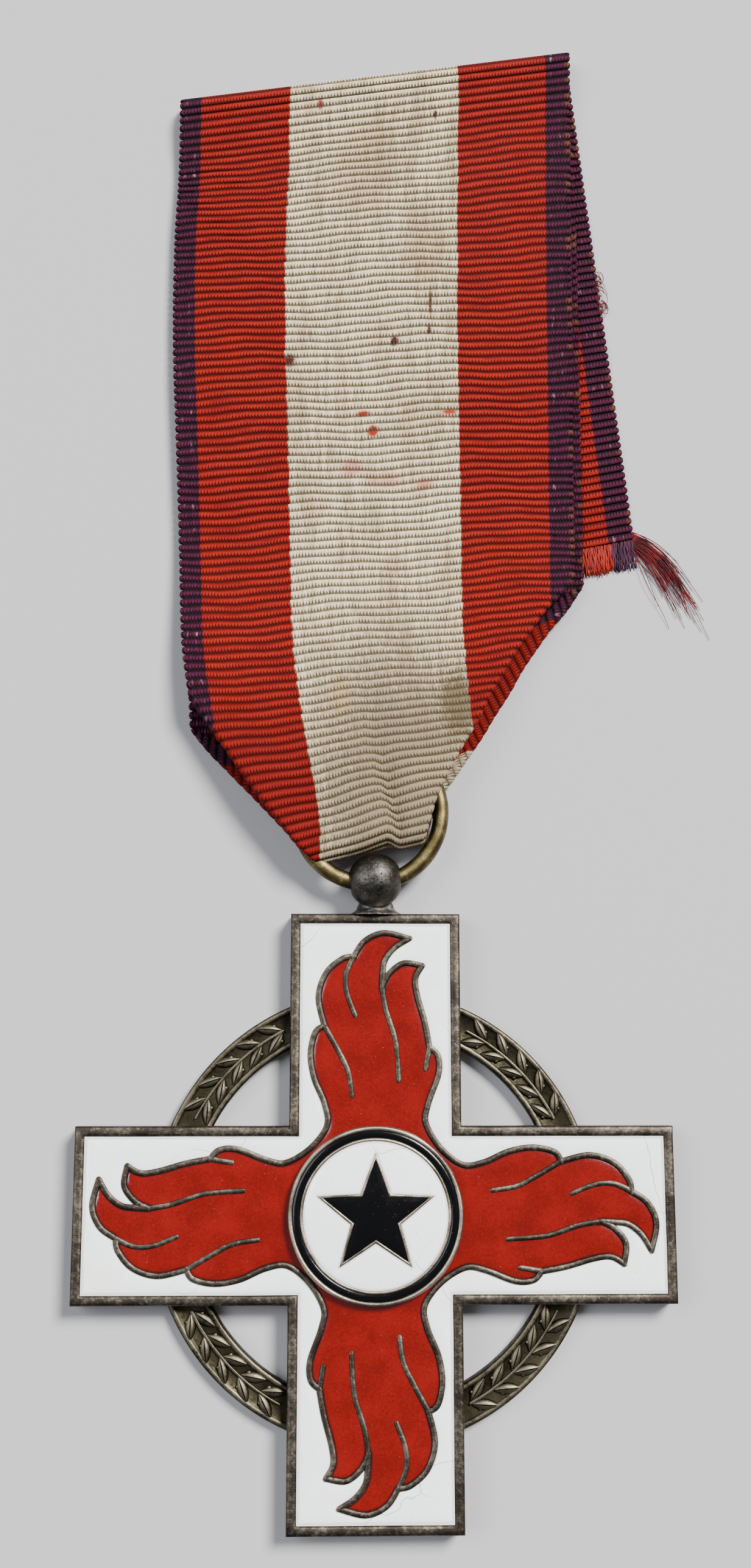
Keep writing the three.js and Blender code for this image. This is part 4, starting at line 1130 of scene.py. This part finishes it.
at = np.linspace(-HALF + 0.1, HALF - 0.1, WARP_ENDS) + rng.normal(0, 0.03, WARP_ENDS)
end_run = np.full(WARP_ENDS, upper_rows[-1] - 0.15)
base = top_fold(warp_place(at, panel_run(end_run)), end_run)      # just inside the last cord
t = np.linspace(0, 1, WARP_STEPS)[None]
long = LOOSE * (1 + rng.normal(0, 0.05, WARP_ENDS) - 0.25 * (rng.random(WARP_ENDS) > 0.93))[:, None]
drift = rng.normal(0, 0.07, WARP_ENDS)[:, None]
rise = rng.uniform(-0.06, 0.07, WARP_ENDS)[:, None]
fringe_paths = base[:, None] + np.stack([
    t * long * math.sin(TAIL_LEAN) + drift * t ** 2 + 0.05 * np.sin(9 * t + 40 * drift),
    -t * long,
    0.03 * np.sin(7 * t + 50 * drift) + rise * t ** 0.5], -1)
fringe_paths[..., 2] = np.maximum(fringe_paths[..., 2], 0.11)      # kept just over the table
fringe = piece("loose_warp_ends", *threads(fringe_paths, tapered(t, WARP_R, 3, WARP_ENDS)),
               across=np.repeat(at, t.size * 4), along=np.tile(np.repeat(t[0], 4), WARP_ENDS))

# The tuft leaves the right-hand selvedge to the side and droops in a loose arc.
corner = base[-1]
t = np.linspace(0, 1, FIBRE_STEPS)[None]
spread = rng.normal(0, 1, TUFT)[:, None]
reach, droop = 5.2 + 0.9 * spread, 6.4 + 0.8 * rng.normal(0, 1, TUFT)[:, None] - 0.5 * spread
length = rng.uniform(0.55, 1.0, TUFT)[:, None] * t
curl, phase = rng.normal(0, 0.22, TUFT)[:, None], rng.uniform(0, 6.3, TUFT)[:, None]
gather = 0.34 * spread * np.cos(2.6 * length) + 0.12 * rng.normal(0, 1, TUFT)[:, None]
lift = rng.uniform(0.1, 1.0, TUFT)[:, None]
tuft_paths = np.stack([
    corner[0] - 0.35 + reach * length ** 0.9 + curl * np.sin(6 * length + phase) * length,
    corner[1] - 0.2 + gather + 0.6 * length * (1 - length) - droop * length ** 1.35
    + curl * np.cos(5 * length + phase) * length,
    0.1 + 0.5 * np.sin(np.pi * np.clip(length * 1.1, 0, 1)) * lift], -1)

# The fuzz is short fibres that curl either way.
worn = TAIL_START + rng.uniform(*FUZZ_AT, FUZZ)
spot = top_fold(warp_place(np.full(FUZZ, HALF), STRAIGHT_EDGE), worn)
turn = rng.uniform(-1.5, 1.2, FUZZ)[:, None] + rng.choice([-1, 1], FUZZ)[:, None] * 3.0 * t
size = rng.uniform(0.15, 0.42, FUZZ)[:, None]
fuzz_paths = spot[:, None] + np.stack([
    size * (np.sin(turn) + 0.9 * t), size * (np.cos(turn) - 1.2 * t),
    0.1 + 0.3 * np.sin(np.pi * t) * size], -1)
hair_paths = np.concatenate([tuft_paths, fuzz_paths])
tuft = piece("frayed_tuft", *threads(hair_paths, tapered(t, FIBRE_R, 2, TUFT + FUZZ)))

LOOSE_REDS, ROOT_SHADE = ((0.13, 0.0030, 0.0008), (0.24, 0.0075, 0.0012)), (0.05, 0.003, 0.004)
LOOSE_VIOLETS, LOOSE_VIOLET_FROM = ((0.014, 0.0012, 0.009), (0.040, 0.003, 0.024)), (13.55, 13.65)
FIBRE_DARK, FIBRE = (0.045, 0.0015, 0.0030), (0.14, 0.005, 0.007)
loose, shader, place = finish("loose_warp", Roughness=0.6, Specular_IOR_Level=0.2)
across, along = abs(place.layer("across")), place.layer("along")
strand_tone = place.stretched(5.0, 0.4, 1.0).noise(1.0, 2).between(0.35, 0.65)
colour = across.between(*RED_FROM).mix(CREAM, strand_tone.mix(*LOOSE_REDS))
colour = across.between(*LOOSE_VIOLET_FROM).mix(colour, strand_tone.mix(*LOOSE_VIOLETS))
colour = (along.between(0.25, 0.0) * 0.6).mix(colour, ROOT_SHADE)
lay(shader, colour, height=place.stretched(6.0, 0.6, 1.0).noise(1.0, 2), depth=0.02)
fit(fringe, loose, "tail", "ribbon_cloth")

hair, shader, place = finish("worn_fibre", Roughness=0.6, Specular_IOR_Level=0.2)
lay(shader, place.noise(0.9, 2, 0.5).between(0.35, 0.65).mix(FIBRE_DARK, FIBRE))
fit(tuft, hair, "tail", "ribbon_cloth")

for made, part, under, pieces in ((ribbon_lower, lower_rows, ["table", ring], []),
                                  (ribbon_upper, upper_rows, ["table"], [fringe, tuft])):
    length = (part[-1] - part[0]) * MM

# ---------------------------------------------------------------------------
# Table, camera and light. The medal lies on a pale matt table and is seen from
# above, leaning a little from its foot. Soft light comes from the upper right,
# with a weaker one from the upper left.
# ---------------------------------------------------------------------------
FAR = 3.0                        # from the middle of the table to each side, in metres
EYE = Vector((-3.61, 8.93, 124.24))
table_mesh = bpy.data.meshes.new("table")
table_mesh.from_pydata([(-FAR, -FAR, 0), (FAR, -FAR, 0), (FAR, FAR, 0), (-FAR, FAR, 0)], [], [(0, 1, 2, 3)])
table = bpy.data.objects.new("table", table_mesh)
bpy.context.scene.collection.objects.link(table)
table_mesh.materials.append(finish("pale_table", Base_Color=(0.36, 0.352, 0.365, 1), Roughness=0.8)[0])

camera_data = bpy.data.cameras.new("camera")
camera = bpy.data.objects.new("camera", camera_data)
bpy.context.scene.collection.objects.link(camera)
look, up = Vector((0.0292, 0.1824, -0.9828)).normalized(), Vector((-0.0049, 0.9832, 0.1823))
right = look.cross(up).normalized()
up = right.cross(look)
camera.matrix_world = Matrix.Translation(EYE * MM) @ Matrix((right, up, -look)).transposed().to_4x4()
camera_data.lens, camera_data.sensor_width = 37.73, 36.0
camera_data.clip_start = 0.005
bpy.context.scene.camera = camera


def lamp(name, way, spread, strength, colour):
    """A broad even light that shines along way and spreads over so many degrees."""
    data = bpy.data.lights.new(name, "SUN")
    data.angle, data.energy, data.color = math.radians(spread), strength, colour
    made = bpy.data.objects.new(name, data)
    bpy.context.scene.collection.objects.link(made)
    made.matrix_world = Vector(way).to_track_quat("-Z", "Y").to_matrix().to_4x4()


lamp("key_light", (-19, -20, -33), 20, 10.0, (1.0, 0.98, 0.95))
lamp("fill_light", (26, -9, -30), 42, 2.9, (0.93, 0.96, 1.0))
world = bpy.data.worlds.new("studio")
world.use_nodes = True
sky = world.node_tree.nodes["Background"].inputs
sky["Color"].default_value, sky["Strength"].default_value = (0.9, 0.95, 1.0, 1), 0.24
bpy.context.scene.world = world
